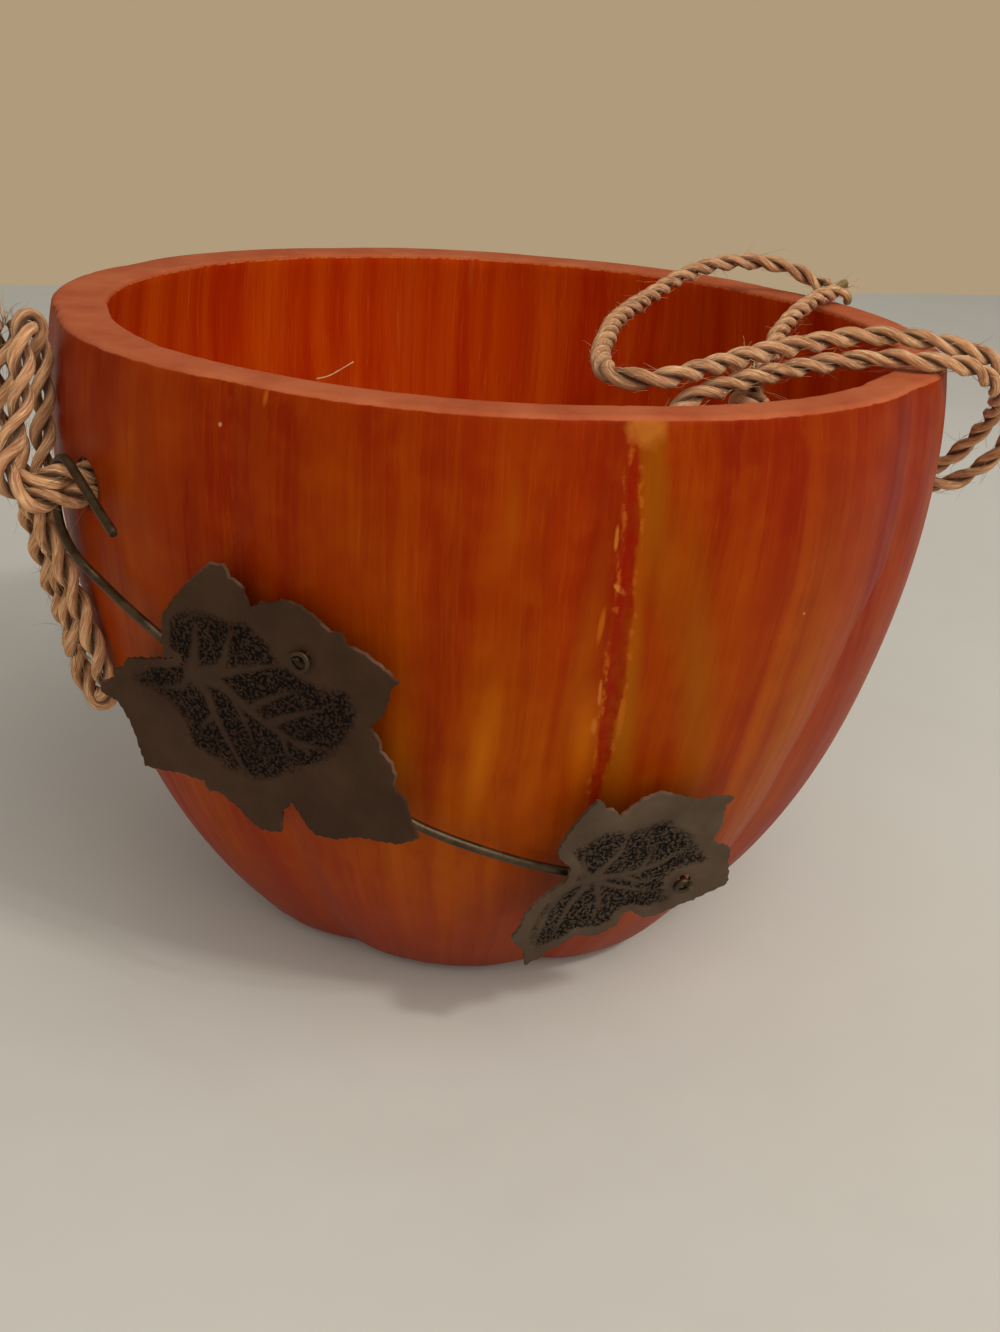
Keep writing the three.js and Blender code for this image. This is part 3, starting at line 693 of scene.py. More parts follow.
def wood_look():
    look = Look("stained_wood", Coat_Roughness=0.3, Coat_IOR=1.2, IOR=1.2, Specular_IOR_Level=0.35,
                Specular_Tint=(1, 0.58, 0.32, 1))
    add, times, swing, span, noise = look.add, look.times, look.swing, look.span, look.noise
    x, y, z = (look.node("SeparateXYZ", {0: look.place}, axis) for axis in range(3))
    sway = look.vector("SUBTRACT", noise(12, 2, out=1), (0.5, 0.5, 0.5))
    round_about = look.vector("ADD", look.vector("NORMALIZE", look.joined(x, y, 0.0), (0, 0, 0)),
                              look.scaled(sway, 0.07))

    def streaks(around, along, detail=3, rough=0.5):
        """Noise drawn out upwards: how fine it is round the bowl, and along its height."""
        up = look.joined(0.0, 0.0, times(z, along))
        return noise(1.0, detail, rough, look.vector("ADD", look.scaled(round_about, around), up))

    names = ("groove", "inside", "rim", "cut", "hole")
    groove, inside, rim, cut, hole = (look.read(name) for name in names)
    outside = look.math("SUBTRACT", 1.0, inside)
    broad, bands, fine = streaks(4.5, 12), streaks(11, 8, 5), streaks(52, 18, 4, 0.6)
    hair, crisp = streaks(190, 26, 3, 0.6), streaks(15, 9, 6, 0.62)
    ragged, wobble = noise(420), noise(130)

    # The stain outside: drawn-out tones under rubbed and darker patches, then the stain inside.
    warm = times(add(look.read("orange"), swing(broad, 1.6), True), span(bands, 0.3, 0.6, 0.35, 1.0))
    base = look.over(
        look.mix(span(bands, 0.3, 0.7), (124, 20, 0), (146, 42, 0)),
        (warm, 0, 1, 0.8, (168, 80, 0)),
        (times(look.read("olive"), span(bands, 0.36, 0.58)), 0, 1, 0.6, (138, 82, 2)),
        (times(span(fine, 0.5, 0.74), span(broad, 0.42, 0.62)), 0, 1, 0.14, (106, 14, 0)),
        (hair, 0.52, 0.72, 0.1, (100, 18, 1)),
        (hair, 0.46, 0.32, 0.1, (190, 90, 8)),
        (noise(28, 4, 0.6), 0.56, 0.72, 0.25, (118, 16, 0)),
        (wobble, 0.5, 0.68, 0.12, (176, 84, 10)),
        (wobble, 0.48, 0.34, 0.12, (104, 16, 0)),
        (crisp, 0.535, 0.565, 0.14, (112, 18, 0)),
        (crisp, 0.455, 0.43, 0.12, (168, 78, 2)),
        # Pinker towards the foot: painted sheen, the pale table's reflection in the low wall.
        (add(look.read("height"), swing(bands, 60.0)), 42, 14, 0.55, (136, 56, 30)),
    )
    for (a, up), (b, down), wide, tone, share, soft in STAINS:
        turn, height = (a + b) / 2, (up + down) / 2
        at = outward(turn) * wall_radius(height) + [0, 0, height]
        lean = np.arctan2(np.radians(a - b) * BELLY_RADIUS, up - down)
        size = np.array([wide, 12, max((up - down) / 2, 0.4)])
        local = look.node("Mapping", {
            "Vector": look.place, "Location": tuple(at * MM), "Rotation": (0, lean, np.radians(turn)),
            "Scale": tuple(size * MM),
        }, vector_type="TEXTURE")
        off = look.node("VectorMath", {0: local}, "Value", operation="LENGTH")
        off = add(off, swing(ragged if soft < 0.4 else bands, 1.2))
        base = look.over(base, (off, 1 + soft, 1 - soft, share, tone))
    within = look.over(
        look.mix(span(bands, 0.34, 0.64), (168, 38, 0), (190, 66, 2)),
        (fine, 0.52, 0.72, 0.3, (138, 26, 1)),
        (hair, 0.54, 0.74, 0.2, (120, 22, 2)),
        (hair, 0.42, 0.28, 0.28, (200, 110, 44)),
    )
    base = look.mix(inside, base, within)

    # The dark stain in the creases, with flecks along its edge, and light dots.
    off = look.math("SUBTRACT", look.math("ABSOLUTE", add(groove, swing(wobble, 2.2))), look.read("seam"))
    line = times(span(off, 0.35, -0.25), outside, span(cut, 0.05, 0.3, 0.12, 1.0),
                 span(ragged, 0.3, 0.62, 1.0, 0.55))
    chipped = noise(620, 4, 0.6, look.vector("MULTIPLY", look.place, (1, 1, 0.5)))
    fleck = times(span(off, -0.5, 0.1), span(off, 1.2, 0.5), span(chipped, 0.53, 0.6), outside,
                  span(cut, 0.06, 0.3, 0.1, 1.0))
    cells = {"Vector": look.place, "Scale": 120.0}
    far, hue = (look.node("TexVoronoi", cells, out) for out in ("Distance", "Color"))
    dot = times(span(far, 0.06, 0.035), span(hue, 0.8, 0.82))
    base = look.over(base, (line, 0, 1, 0.85, (132, 10, 1)), (fleck, 0, 1, 0.5, (184, 92, 24)),
                     (dot, 0, 1, 0.7, (222, 170, 120)))

    # The bared rim, its lip, and painted shade in the holes' bores.
    grain = noise(900, 4, 0.65)
    bare = look.mix(span(noise(90), 0.35, 0.65), (180, 95, 58), (166, 79, 46))
    bare = look.over(bare, (grain, 0.52, 0.7, 0.3, (188, 103, 66)))
    bared = span(add(rim, swing(ragged, 0.5)), 0.35, 0.6)
    stained = look.math("SUBTRACT", 1.0, bared)
    lip = times(span(rim, 0.02, 0.2), inside, span(chipped, 0.42, 0.56), stained)
    base = look.over(look.mix(bared, base, bare), (lip, 0, 1, 0.6, (204, 128, 66)),
                     # Painted shade in the holes' bores.
                     (hole, 0, 1, 0.8, (70, 26, 10)))

    rough = add(span(fine, 0.3, 0.7, 0.4, 0.55), times(bared, 0.3))
    gloss = times(span(bared, 0, 1, 0.1, 0.0), span(line, 0, 1, 1.0, 0.5), span(hole, 0, 1, 1.0, 0.1),
                  span(inside, 0, 1, 1.0, 0.6))
    relief = times(add(times(fine, 0.4), times(hair, 0.12)), span(bared, 0, 1, 1.0, 0.15))
    relief = add(relief, times(grain, bared, 0.5))
    normal = look.bump(relief, 0.22 * MM, 0.36)
    return look.set(Base_Color=base, Roughness=rough, Coat_Weight=gloss, Normal=normal)


def dress(obj, look, body, slot, *nodes):
    """Give a piece its material, the body it rides on and the nodes it stands in for; its slot is not
    used.
    """
    obj.data.materials.append(look)
    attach(obj, body)
    if nodes:
        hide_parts(*nodes)
    return obj


def make_bowl():
    bowl = bowl_shell()
    drill_holes(bowl)
    bowl.data.set_sharp_from_angle(angle=np.radians(50))
    paint_bowl(bowl)
    bowl.data.materials.clear()
    dress(bowl, wood_look(), "bowl", "stained_wood", "bowl")


def twine_look():
    look = Look("jute_twine", Roughness=0.75, Specular_IOR_Level=0.3, Sheen_Weight=0.15,
                Sheen_Roughness=0.4, Sheen_Tint=colour(255, 220, 180))
    mark = look.read("mark")

    def drawn_out(around, along):
        """Noise drawn out along the yarns of a ply."""
        across = (look.times(look.read(name), around) for name in ("over", "aside"))
        up = look.add(look.times(look.read("along"), along), look.times(mark, 50.0))
        return look.noise(1.0, 3, 0.6, look.joined(*across, up))

    bundles, fine = drawn_out(1.7, 0.16), drawn_out(5.0, 0.35)
    spread = look.span(look.noise(180), 0.35, 0.65)
    base = look.over(
        look.mix(spread, (192, 131, 86), (218, 161, 112)),
        (bundles, 0.5, 0.68, 0.55, (112, 66, 36)),
        # Lighter bundles: partly the fibres' own tone, partly painted highlight on the crests.
        (bundles, 0.48, 0.34, 0.5, (226, 178, 124)),
        (fine, 0.52, 0.68, 0.6, (92, 52, 28)),
        # Lighter yarns: partly the fibres' own tone, partly painted highlight on the crests.
        (fine, 0.47, 0.32, 0.7, (250, 218, 174)),
        (mark, 0, 1, 0.25, (120, 72, 40)),
        # Painted shade between the plies, where a ply faces the other.
        (look.read("deep"), -0.2, 0.6, 0.85, (66, 34, 18)),
        (look.read("tip"), 0, 1, 0.75, (112, 100, 52)),
    )
    return look.set(Base_Color=base, Normal=look.bump(fine, 0.3 * MM, 0.9))


def fibre_look():
    look = Look("jute_fibre", Roughness=0.8, Specular_IOR_Level=0.3)
    base = look.mix(look.read("mark"), (132, 88, 52), (226, 182, 130))
    base = look.over(base, (look.noise(700, 2), 0.4, 0.7, 0.5, (120, 76, 44)))
    return look.set(Base_Color=base)


JUTE, FIBRE = twine_look(), fibre_look()


def add_twine(obj, *nodes):
    """Dress a piece of twine, or one of loose fibres, which stand in for no node."""
    return dress(obj, JUTE if nodes else FIBRE, "bowl", "jute_twine", *nodes)


def strand_start(hole, side):
    """The strand's way through its hole: two points, above or below the hole's own line."""
    angle, height = HOLES[hole]
    inner, outer = plain_faces(hole)
    z = height * MM + side * (TWINE / 2 + GAP)
    way = outward(angle)
    return [way * (inner * MM - GAP) + [0, 0, z], way * outer * MM + [0, 0, z]]


def add_strand(name, points, seed, far_end, lay, with_pieces=(), frayed=18, hair_gap=3.5, **shape):
    """A strand of twine with its loose fibres; its node's name says twine where the piece's says strand."""
    line, length = spaced(spline(points), RING_STEP)
    body = add_twine(twine_mesh(name, line, seed, **shape), name.replace("strand", "twine"))
    ends = [(line[-1], unit(line[-1] - line[-6]), frayed, 7)] if frayed else []
    hairs = add_twine(loose_fibres(name + "_fibres", line, seed + 50, hair_gap, ends))


def add_stopper(name, node, hole, seed):
    """The knot inside the wall, with the tie's two cut ends."""
    angle, height = HOLES[hole]
    way = outward(angle)
    seat = plain_faces(hole)[0] * MM - 2 * GAP
    centre = way * (seat - 4.3 * MM) + [0, 0, height * MM]
    tied = add_twine(knot(name, centre, way, 3.9 * MM, 1.7 * MM, seed), node)
    ends = [(centre - way * 4 * MM, unit(-way + [0, 0, s]), 14, 6) for s in (0.5, -0.6)]
    line = np.array([centre + way * s * MM for s in (-2, -1, 0, 1)])
    return [tied, add_twine(loose_fibres(name + "_fibres", line, seed + 50, 1, ends))]


def make_twine():
    left = add_stopper("left_stopper", "left_knot", 0, 21)
    right = add_stopper("right_stopper", "right_knot", 1, 22)
    tail_at, = beside(TAIL_KNOT_AT)
    way = unit(np.array([0.35, 0.55, 0.4]))
    tied = add_twine(knot("tail_tie", tail_at, way, 2.9 * MM, 1.5 * MM, 23), "tail_knot")
    sprays = ((0.2, -0.1, 1), (0.9, 0.3, 0.5), (-0.5, 0.2, 0.6))
    ends = [(tail_at + [0, 0, 0.003], unit(np.array(v)), 26, 10) for v in sprays]
    line = np.array([tail_at + [0, 0, k * MM] for k in range(4)])
    tuft = add_twine(loose_fibres("tail_tie_fibres", line, 73, 1, ends))
    left_look = dict(hair_gap=1.6, fat=1.12)
    right_loop = strand_start(1, -1) + beside(*RIGHT_LOOP)
    add_strand("left_strand_upper", strand_start(0, 1) + beside(*LEFT_UPPER), 31, "bare", "hanging", left,
               part_by=0.6, part_over=85 * MM, spread=1.3 * MM, **left_look)
    add_strand("left_strand_lower", strand_start(0, -1) + beside(*LEFT_LOWER), 32, "bare", "hanging",
               part_by=0.3, spread=1.45 * MM, **left_look)
    add_strand("right_strand_inner", strand_start(1, 1) + beside(*RIGHT_INNER), 33, "knot", "loose",
               [tied, tuft, *right], frayed=0)
    add_strand("right_strand_loop", right_loop, 34, "bare", "loose", part_by=0.5)
    add_strand("right_strand_tail", beside(*TAIL), 35, "bare", "loose", frayed=10, part_by=1.2, tip=1.0)


def add_straw():
    """A stiff bit of fibre that lies on the rim and points over the mouth."""
    places = ((-19.2, 95.5, 149), (-18.4, 93.4, 149.3), (-17.2, 92, 150.6), (-16, 91, 152))
    line = np.array([outward(a) * r + [0, 0, z] for a, r, z in places]) * MM
    build = Build()
    build.tube(spline(line, 4), 0.12 * MM, 6, mark=0.8)
    add_twine(build.make("rim_straw"))


make_twine()
add_straw()
make_bowl()


# Wires
def leaf_frame(angle, lean, radius, height):
    """The leaf's plane: a matrix whose columns are across, rise and the normal towards the viewer."""
    out, up, lean = outward(angle), np.array([0, 0, 1.0]), np.radians(lean)
    normal = out * np.cos(lean) - up * np.sin(lean)
    rise = out * np.sin(lean) + up * np.cos(lean)
    return np.stack([outward(angle + 90), rise, normal], 1), (out * radius + up * height) * MM


# Each leaf's plane, its middle and, in the plane, its hole.
LEAVES = {
    "large_leaf": (*leaf_frame(-25, 8, wall_radius(84) + 4, 84), (17, 16.5)),
    "small_leaf": (*leaf_frame(19, 15, wall_radius(68) + 5.2, 68), (17, -22.5)),
}
LEAF_HOLE_RADIUS = 1.6
# A curl's radius in front of its leaf, and how far its middle stands beside the hole; then its points,
# the degrees between them, and how far it stands off.
CURL = {"large_leaf": (1.95, 0.15), "small_leaf": (1.6, 0.9)}
CURL_STEPS = 12
CURL_TURN = 36
CURL_LIFT = 0.4


def curl(leaf, diameter, start):
    """The wire's end: through the hole from behind, then round in front of the leaf."""
    turn, origin, hole = LEAVES[leaf]
    face = (SHEET + diameter) / 2 / MM + GAP / MM
    reach, aside = CURL[leaf]

    def way(degrees):
        return np.array([np.cos(np.radians(degrees)), np.sin(np.radians(degrees))])

    centre = np.array(hole) - aside * way(start)
    points = [(*hole, off) for off in (-face - CURL_LIFT, 0, face - CURL_LIFT)]
    for k in range(1, CURL_STEPS + 1):
        off = face + CURL_LIFT + 0.9 * ease(k, 9, CURL_STEPS)
        r = aside + (reach - aside) * ease(k, 0, 2.6)
        points.append((*(centre + r * way(start + CURL_TURN * k)), off))
    return [origin + turn @ (np.array(p) * MM) for p in points]


def wire_look():
    look = Look("dark_wire", Metallic=0.85, Specular_IOR_Level=0.5)
    spots = look.noise(260, 4, 0.6)
    draw = look.noise(1500, 2)
    base = look.over(
        look.mix(look.span(spots, 0.35, 0.65), (62, 50, 37), (92, 76, 56)),
        (draw, 0.55, 0.7, 0.5, (60, 48, 36)),
        (look.read("curled"), 0, 1, 0.3, (40, 32, 25)),
    )
    rough = look.span(spots, 0.3, 0.7, 0.34, 0.55)
    return look.set(Base_Color=base, Roughness=rough, Normal=look.bump(draw, 0.08 * MM, 0.6))


def wire(name, node, points, diameter, look):
    """A wire with blunt ends, a little uneven, and thinner in its curl."""
    line, _ = spaced(spline(points, 12), 0.45 * MM)
    n = len(line)
    run = np.arange(n)
    blunt = np.clip(0.8 + 0.2 * np.minimum(run, n - 1 - run) / 2.0, 0, 1)
    waves = np.random.default_rng(5).uniform(-1, 1, n // 12)
    uneven = 1 + 0.012 * np.interp(run, np.linspace(0, n, n // 12), waves)
    curled = 1 - ease(np.linalg.norm(line - points[-CURL_STEPS], axis=1), 4.5 * MM, 7 * MM)
    radius = diameter / 2 * blunt * uneven * (1 - 0.33 * curled)
    build = Build()
    build.tube(line, radius, 16, round_ends=False, curled=curled[:, None])
    dress(build.make(name, sharp=50), look, "garland", "dark_wire", node)


def make_wires():
    look = wire_look()
    main = beside(*HOOK, *WALL) + curl("small_leaf", WIRE, 0)
    wire("garland_main_wire", "garland_wire", main, WIRE, look)
    fine, _ = spaced(spline(main, 40), 0.02 * MM)
    tack = []
    for share in (0.37, 0.38, 0.39, 0.4):
        i = round(share * (len(fine) - 1))
        way = unit(fine[i + 1] - fine[i - 1])
        side = unit(np.array([0, 0, 1.0]) - way * way[2])
        tack.append(fine[i] + side * ((WIRE + BRANCH) / 2 + GAP))
    branch = tack + beside((-22.1, 1.9, 92.5), (-18.8, 2, 97)) + curl("large_leaf", BRANCH, 90)
    wire("large_leaf_wire", "leaf_branch_wire", branch, BRANCH, look)


make_wires()


# Leaves. Veins are lines in a leaf's plane, each with its height and half width, in millimetres.
LARGE_VEINS = [
    ([(-10.9, 4.9), (-3.6, 5), (2, 1.6), (6.5, -0.9), (11.6, -2.8), (16.7, -5.4)], 0.5, 1.25),
    ([(-10.8, 5.2), (-4.5, 6.8), (1.8, 9.6), (7.9, 12), (12.3, 13.5)], 0.42, 1.15),
    ([(-10.8, 5.6), (-9.4, 8.8), (-8.5, 13), (-8, 17.6)], 0.42, 1.3),
    ([(-8.3, 6.3), (-2.5, 9), (-1, 13.9), (0.7, 18.2)], 0.4, 1.2),
    ([(-10.9, 4.9), (-7, 1.9), (-6, -2.5), (-3.8, -6.9), (-0.8, -13), (1.8, -16.5)], 0.42, 1.1),
    ([(-10.9, 4.9), (-13.2, 1.7), (-17.2, 0.1), (-21.9, -1.2)], 0.34, 0.9),
    ([(7.7, -0.8), (12.7, 2.1), (16.9, 4.2), (20.4, 5.8)], 0.4, 0.95),
    ([(10.5, -2.6), (11.1, -5.7), (11.7, -9.1)], 0.34, 0.9),
    ([(13.9, -3.9), (18, -3.5), (20.9, -3.2)], 0.34, 0.8),
    ([(-1.3, 4.2), (0.7, 0), (2.6, -4.1), (3.4, -8.1)], 0.36, 0.9),
    ([(3.2, 1.1), (7.1, 4.2), (12, 7.1), (16.2, 9.1)], 0.36, 0.9),
    ([(-15.4, -4.6), (-14.8, -9.3), (-12.8, -13.1)], 0.2, 0.8),
    ([(-5.8, -3), (-9.3, -6.5), (-10.5, -10.5)], 0.3, 0.8),
]
SMALL_VEINS = [
    ([(-9.1, -15.7), (-4.7, -18.9), (0.9, -18.8), (5.9, -18.1), (10, -16.1), (16.5, -11.9)], 0.4, 1),
    ([(-4.7, -18.9), (-2.1, -14.9), (0, -11.5), (0.9, -5.1)], 0.36, 0.9),
    ([(-4.7, -18.9), (-8.4, -20), (-11.2, -22.6), (-13.1, -27.7), (-14.2, -34.7), (-15.1, -41.1)], 0.4, 1),
    ([(-5.5, -20.5), (-8.3, -26.2), (-9.9, -33), (-11.4, -37.6)], 0.36, 0.9),
    ([(-4.7, -18.9), (-0.2, -21.7), (6, -23.9), (12.1, -25.3)], 0.34, 0.85),
    ([(-3.2, -20.8), (-1.6, -27.3), (-2.1, -32), (-3.9, -35)], 0.32, 0.8),
    ([(5.9, -18.1), (7.1, -13.4), (8.4, -9.1)], 0.3, 0.8),
    ([(0.9, -18.8), (6.7, -21.7), (8.9, -21.3), (13.2, -19.8)], 0.3, 0.8),
    ([(-6.6, -17.2), (-8.1, -12.5), (-7.5, -9.7)], 0.3, 0.8),
]
# Where each leaf is pitted between its veins; the margin outside stays smooth.
LARGE_FIELD = [
    (-13.3, 18), (-4.1, 19.2), (4.1, 20.2), (8.6, 17), (11, 12.6), (19.2, 10.2), (26, 11.1),
    (27.2, 6.7), (23.9, -0.6), (17.7, -7.2), (10.1, -12.6), (0.1, -15.8), (-5, -14.8), (-11.5, -11.3),
    (-13.2, -7), (-17, -2), (-26, -0.6), (-18, 7.1),
]
SMALL_FIELD = [
    (-10, -10.7), (-4.5, -5.8), (3.1, -5.4), (9.5, -4.1), (15.3, -9.3), (20, -16.7), (14.5, -19.6),
    (13.4, -28.3), (8.4, -29.9), (2.6, -35.3), (-3.9, -35), (-11.4, -40), (-16.3, -35.9),
    (-13.2, -23.8), (-10.3, -18.1),
]
# Steps between a leaf's points, inside and along its outline.
GRID_STEP = 0.6
TOOTH_STEP = 0.7


def pairs(closed):
    """The runs between the points of a closed outline."""
    return zip(closed, np.roll(closed, -1, axis=0))


def to_line(p, a, b):
    """Distance of points from a straight run, and the share along it."""
    d = b - a
    t = np.clip(((p - a) @ d) / (d @ d), 0, 1)
    return np.linalg.norm(p - a - t[:, None] * d, axis=1), t


def gap_to(points, closed):
    """Distance of points from a closed outline."""
    return np.min([to_line(points, a, b)[0] for a, b in pairs(closed)], axis=0)


def within(points, closed):
    """Which points lie inside a closed outline."""
    x, y = points.T
    odd = np.zeros(len(points), bool)
    for (ax, ay), (bx, by) in pairs(closed):
        crosses = (ay > y) != (by > y)
        odd ^= crosses & (x < (bx - ax) * (y - ay) / (by - ay + 1e-12) + ax)
    return odd


def relief_at(p, veins, pitted, edge_gap):
    """The embossed relief: how far the veins rise, and how much of the pitted field there is."""
    raised = np.zeros(len(p))
    for points, tall, wide in veins:
        points = np.array(points, float)
        runs = np.linalg.norm(np.diff(points, axis=0), axis=1)
        along = np.concatenate([[0], np.cumsum(runs)]) / runs.sum()
        for i in range(len(points) - 1):
            off, t = to_line(p, points[i], points[i + 1])
            s = along[i] + t * (along[i + 1] - along[i])
            width = wide * (1.15 - 0.6 * s)
            raised = np.maximum(raised, tall * (1 - 0.55 * s) * np.exp(-((off / width) ** 2)))
    pitted = np.array(pitted)
    depth = gap_to(p, pitted) * np.where(within(p, pitted), 1, -1)
    return raised * ease(edge_gap, 0.5, 2.5), ease(depth, -3.2, 2.4) * ease(edge_gap, 1.0, 3.0)


def toothed(corners, rng):
    """A leaf's outline in short runs, with small teeth along it."""
    rim = []
    for a, b in pairs(corners):
        n = max(1, round(np.linalg.norm(b - a) / TOOTH_STEP))
        rim += [a + (b - a) * k / n for k in range(n)]
    rim = np.array(rim)
    run = np.arange(len(rim))
    run = run * TOOTH_STEP + 0.4 * np.sin(run / 7.3)
    side = np.roll(rim, -1, axis=0) - np.roll(rim, 1, axis=0)
    side = side[:, ::-1] * [1, -1] / np.linalg.norm(side, axis=1)[:, None]
    (x, y), (next_x, next_y) = corners.T, np.roll(corners, -1, axis=0).T
    outwards = np.sign(np.sum(x * next_y - y * next_x))
    rim += outwards * side * (0.15 - 0.4 * (run / 2.4 % 1))[:, None]
    return rim + rng.normal(0, 0.05, rim.shape)


def leaf_mesh(name, outline, veins, pitted, seed):
    """A leaf of embossed sheet: even triangles over its outline, raised and pitted, and its back."""
    rng = np.random.default_rng(seed)
    plane, origin, hole = LEAVES[name]
    corners = np.array(outline, float)
    rim = toothed(corners, rng)
    a = 2 * np.pi * np.arange(20) / 20
    ring = np.array(hole) + LEAF_HOLE_RADIUS * np.stack([np.cos(a), np.sin(a)], 1)

    xs, ys = (np.arange(low, high, GRID_STEP) for low, high in zip(corners.min(0), corners.max(0)))
    grid = np.stack(np.meshgrid(xs, ys), -1).reshape(-1, 2)
    grid = grid + rng.uniform(-0.18, 0.18, grid.shape) * GRID_STEP
    grid = grid[within(grid, rim)]
    clear = np.linalg.norm(grid - hole, axis=1) > LEAF_HOLE_RADIUS + 0.4
    grid = grid[(gap_to(grid, rim) > 0.45) & clear]
    n, m = len(rim), len(ring)
    edges = [(i, (i + 1) % n) for i in range(n)] + [(n + i, n + (i + 1) % m) for i in range(m)]
    corners = [Vector(p) for p in np.vstack([rim, ring, grid])]
    flat, _, faces, *_ = geometry.delaunay_2d_cdt(corners, edges, [], 0, 1e-5)
    flat, faces = np.array([tuple(p) for p in flat]), np.array(faces)
    middle = flat[faces].mean(1)
    faces = faces[within(middle, rim) & ~within(middle, ring)]
    used, faces = np.unique(faces, return_inverse=True)
    flat, faces = flat[used], faces.reshape(-1, 3)
    a, b, c = flat[faces].transpose(1, 0, 2)
    if np.cross(b - a, c - a).mean() < 0:
        faces = faces[:, ::-1]
    faces = [tuple(f) for f in faces.tolist()]

    edge_gap = gap_to(flat, rim)
    raised, field = relief_at(flat, veins, pitted, edge_gap)
    # The sheet stays flat round its hole.
    away = ease(np.linalg.norm(flat - hole, axis=1), 2.6, 5.5)
    pits = rng.uniform(-1, 0.6, len(flat)) * 0.11 * field * away
    bow = 0.35 * np.sin(flat[:, 0] / 11 + seed) * np.cos(flat[:, 1] / 9) * ease(edge_gap, -1, 6) * away
    top = (raised - 0.12 * field) * away + pits + bow
    half = SHEET / MM / 2
    points = np.vstack([
        np.column_stack([flat, top * 0.9 + half]),
        np.column_stack([flat, (top - pits) * 0.9 - half]),
    ])
    count = len(flat)
    sides = dict.fromkeys(side for f in faces for side in zip(f, f[1:] + f[:1]))
    closed = faces + [tuple(i + count for i in reversed(f)) for f in faces]
    closed += [(b, a, a + count, b + count) for a, b in sides if (b, a) not in sides]
    leaf = mesh_object(name + "_sheet", origin + (points * MM) @ plane.T, closed, sharp=45)
    paint(leaf, field=np.tile(field * away, 2), vein=np.tile(raised, 2), edge=np.tile(edge_gap, 2))
    return leaf


def sheet_look(name, base_dark, base_light):
    look = Look(name, Metallic=0.1, Specular_IOR_Level=0.07)
    add, times, span, noise = look.add, look.times, look.span, look.noise
    field, vein, edge = look.read("field"), look.read("vein"), look.read("edge")
    cloud = noise(70, 4, 0.6)
    reach = add(field, look.swing(noise(190, 2), 1.3))
    speck = span(noise(1500, 3, 0.6), 0.455, 0.54)
    pits = times(speck, span(reach, 0.3, 0.8), span(vein, 0.22, 0.06))
    base = look.over(
        look.mix(span(cloud, 0.35, 0.65), base_dark, base_light),
        (reach, 0.4, 1.0, 0.35, (28, 20, 15)),
        (pits, 0, 1, 0.95, (8, 6, 5)),
        (vein, 0.15, 0.5, 0.25, (84, 68, 56)),
        # Lighter near the edges: worn edges, and painted highlight where the edges catch the light.
        (times(span(edge, 0.25, 0.0), span(cloud, 0.5, 0.62)), 0, 1, 0.35, (140, 104, 84)),
    )
    rough = add(span(cloud, 0.3, 0.7, 0.5, 0.66), times(pits, 0.2))
    relief = add(times(noise(1300, 3, 0.6), 0.25), times(pits, -0.8))
    return look.set(Base_Color=base, Roughness=rough, Normal=look.bump(relief, 0.3 * MM, 0.8))


def make_leaves():
    for name, outline, veins, pitted, seed, dark, light in (
        ("large_leaf", LARGE_OUTLINE, LARGE_VEINS, LARGE_FIELD, 1, (59, 39, 26), (72, 51, 36)),
        # The small leaf is the same sheet as the large one; its lighter, greyer tones are painted
        # reflection of the light from above.
        ("small_leaf", SMALL_OUTLINE, SMALL_VEINS, SMALL_FIELD, 2, (72, 57, 44), (90, 74, 58)),
    ):
        look = sheet_look("dark_sheet_" + name, dark, light)
        dress(leaf_mesh(name, outline, veins, pitted, seed), look, name, "dark_sheet", name)


make_leaves()


# Floor, backdrop and light
def table_look():
    """A pale surface with faint clouds."""
    look = Look("pale_table", Roughness=0.9, Specular_IOR_Level=0.1)
    tone = (213, 209, 197)
    cloud = look.span(look.noise(3.5, 4, 0.55), 0.3, 0.7)
    fine = look.span(look.noise(60, 2), 0.3, 0.8, 0.0, 0.3)
    return look.set(Base_Color=look.mix(fine, look.mix(cloud, tone, (204, 199, 188)), tone))


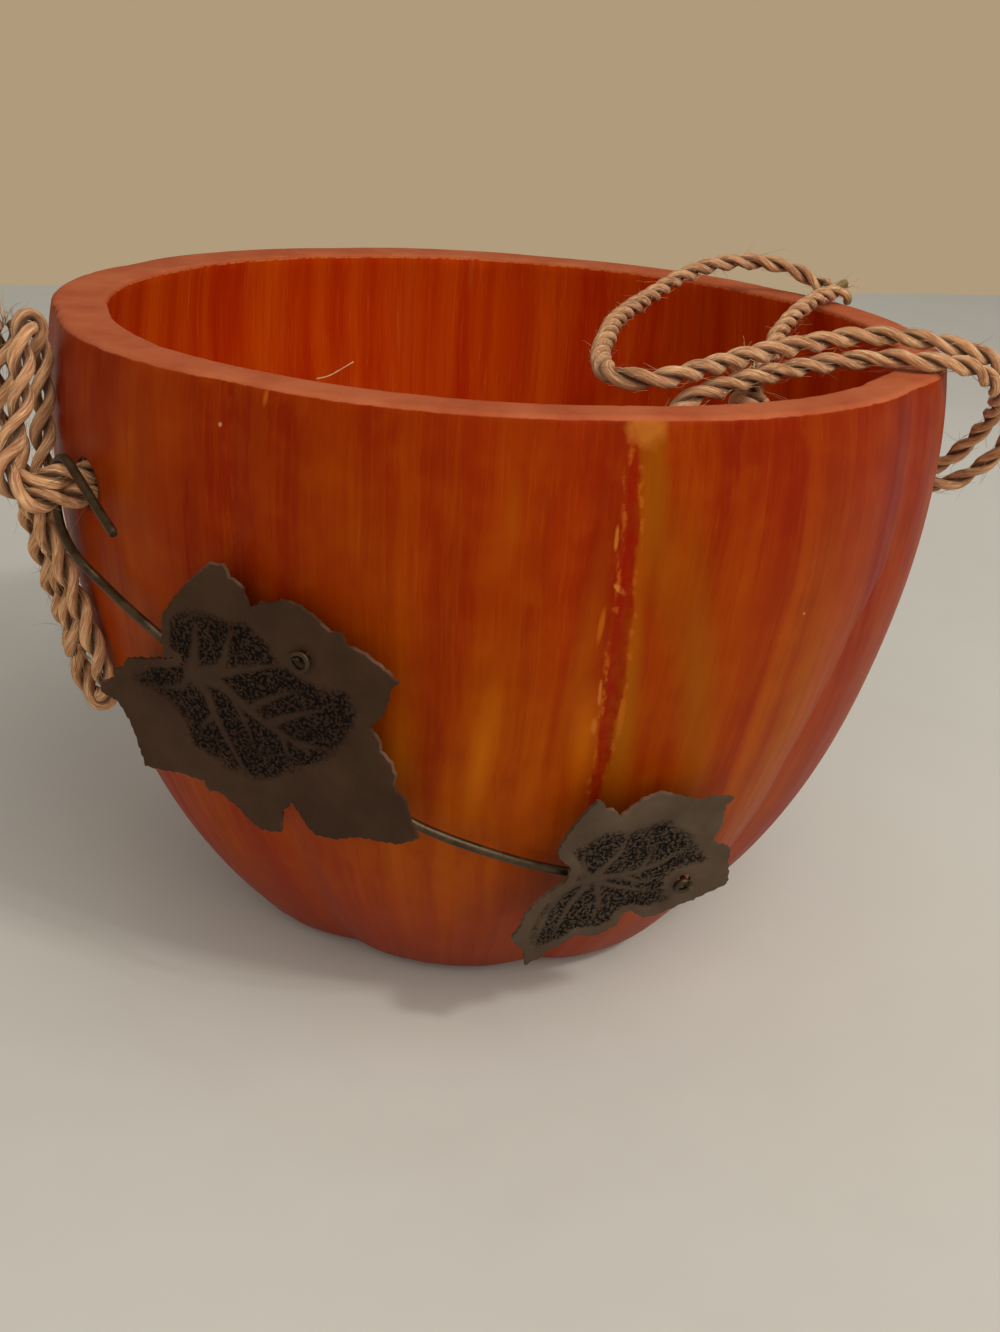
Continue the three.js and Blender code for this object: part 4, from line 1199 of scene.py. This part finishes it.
def floor_point(px, py):
    """The place on the floor that a pixel of the photograph shows."""
    wide, high = PHOTO_SIZE
    camera = bpy.context.scene.camera.matrix_world
    pixel = Vector((px - wide / 2, high / 2 - py, -PHOTO_FOCUS)) / PHOTO_FOCUS
    way = camera.to_3x3() @ pixel
    return tuple(camera.translation - way * (camera.translation.z / way.z))


def add_floor():
    """The table, whose far edge lies where the photograph's does."""
    corners = [(-4, -3, 0), (4, -3, 0), floor_point(4000, 325), floor_point(-3000, 255)]
    floor = mesh_object("table_floor", corners, [(0, 1, 2, 3)], smooth=False)
    floor.data.materials.append(table_look())


def add_room():
    """A plain wall's tone for what looks at the room, and a grey one for its light."""
    world = bpy.data.worlds.new("room")
    bpy.context.scene.world = world
    world.use_nodes = True
    room = Nodes(world.node_tree)
    camera, glossy, through = (
        room.node("LightPath", {}, f"Is {kind} Ray") for kind in ("Camera", "Glossy", "Transmission")
    )
    seen = room.math("MAXIMUM", camera, room.math("MAXIMUM", glossy, through))
    tone = room.mix(seen, (0.35, 0.344, 0.33, 1), (176, 155, 124))
    room.put(room.tree.nodes["Background"].inputs["Color"], tone)


def add_lamp(name, at, aim_height, size, power, tint, shines=True):
    data = bpy.data.lights.new(name, "AREA")
    data.shape, data.size, data.energy, data.color = "DISK", size, power, tint
    lamp = bpy.data.objects.new(name, data)
    lamp.location = at
    lamp.rotation_euler = (Vector((0, 0, aim_height)) - Vector(at)).to_track_quat("-Z", "Y").to_euler()
    lamp.visible_glossy = shines
    bpy.context.scene.collection.objects.link(lamp)


add_floor()
add_room()
add_lamp("key_light", (0.9, -0.73, 1.3), 0.06, 0.16, 7, (1, 0.99, 0.97))
add_lamp("soft_light", (0.9, -0.73, 1.3), 0.06, 2.0, 13.5, (1, 0.98, 0.95))
add_lamp("fill_light", (-0.5, -1.3, 1.1), 0.06, 1.0, 3, (1, 0.98, 0.95), False)
add_lamp("front_light", (-0.15, -1.5, 0.35), 0.07, 1.1, 3, (1, 0.98, 0.96), False)
bpy.context.scene.view_settings.view_transform = "Standard"
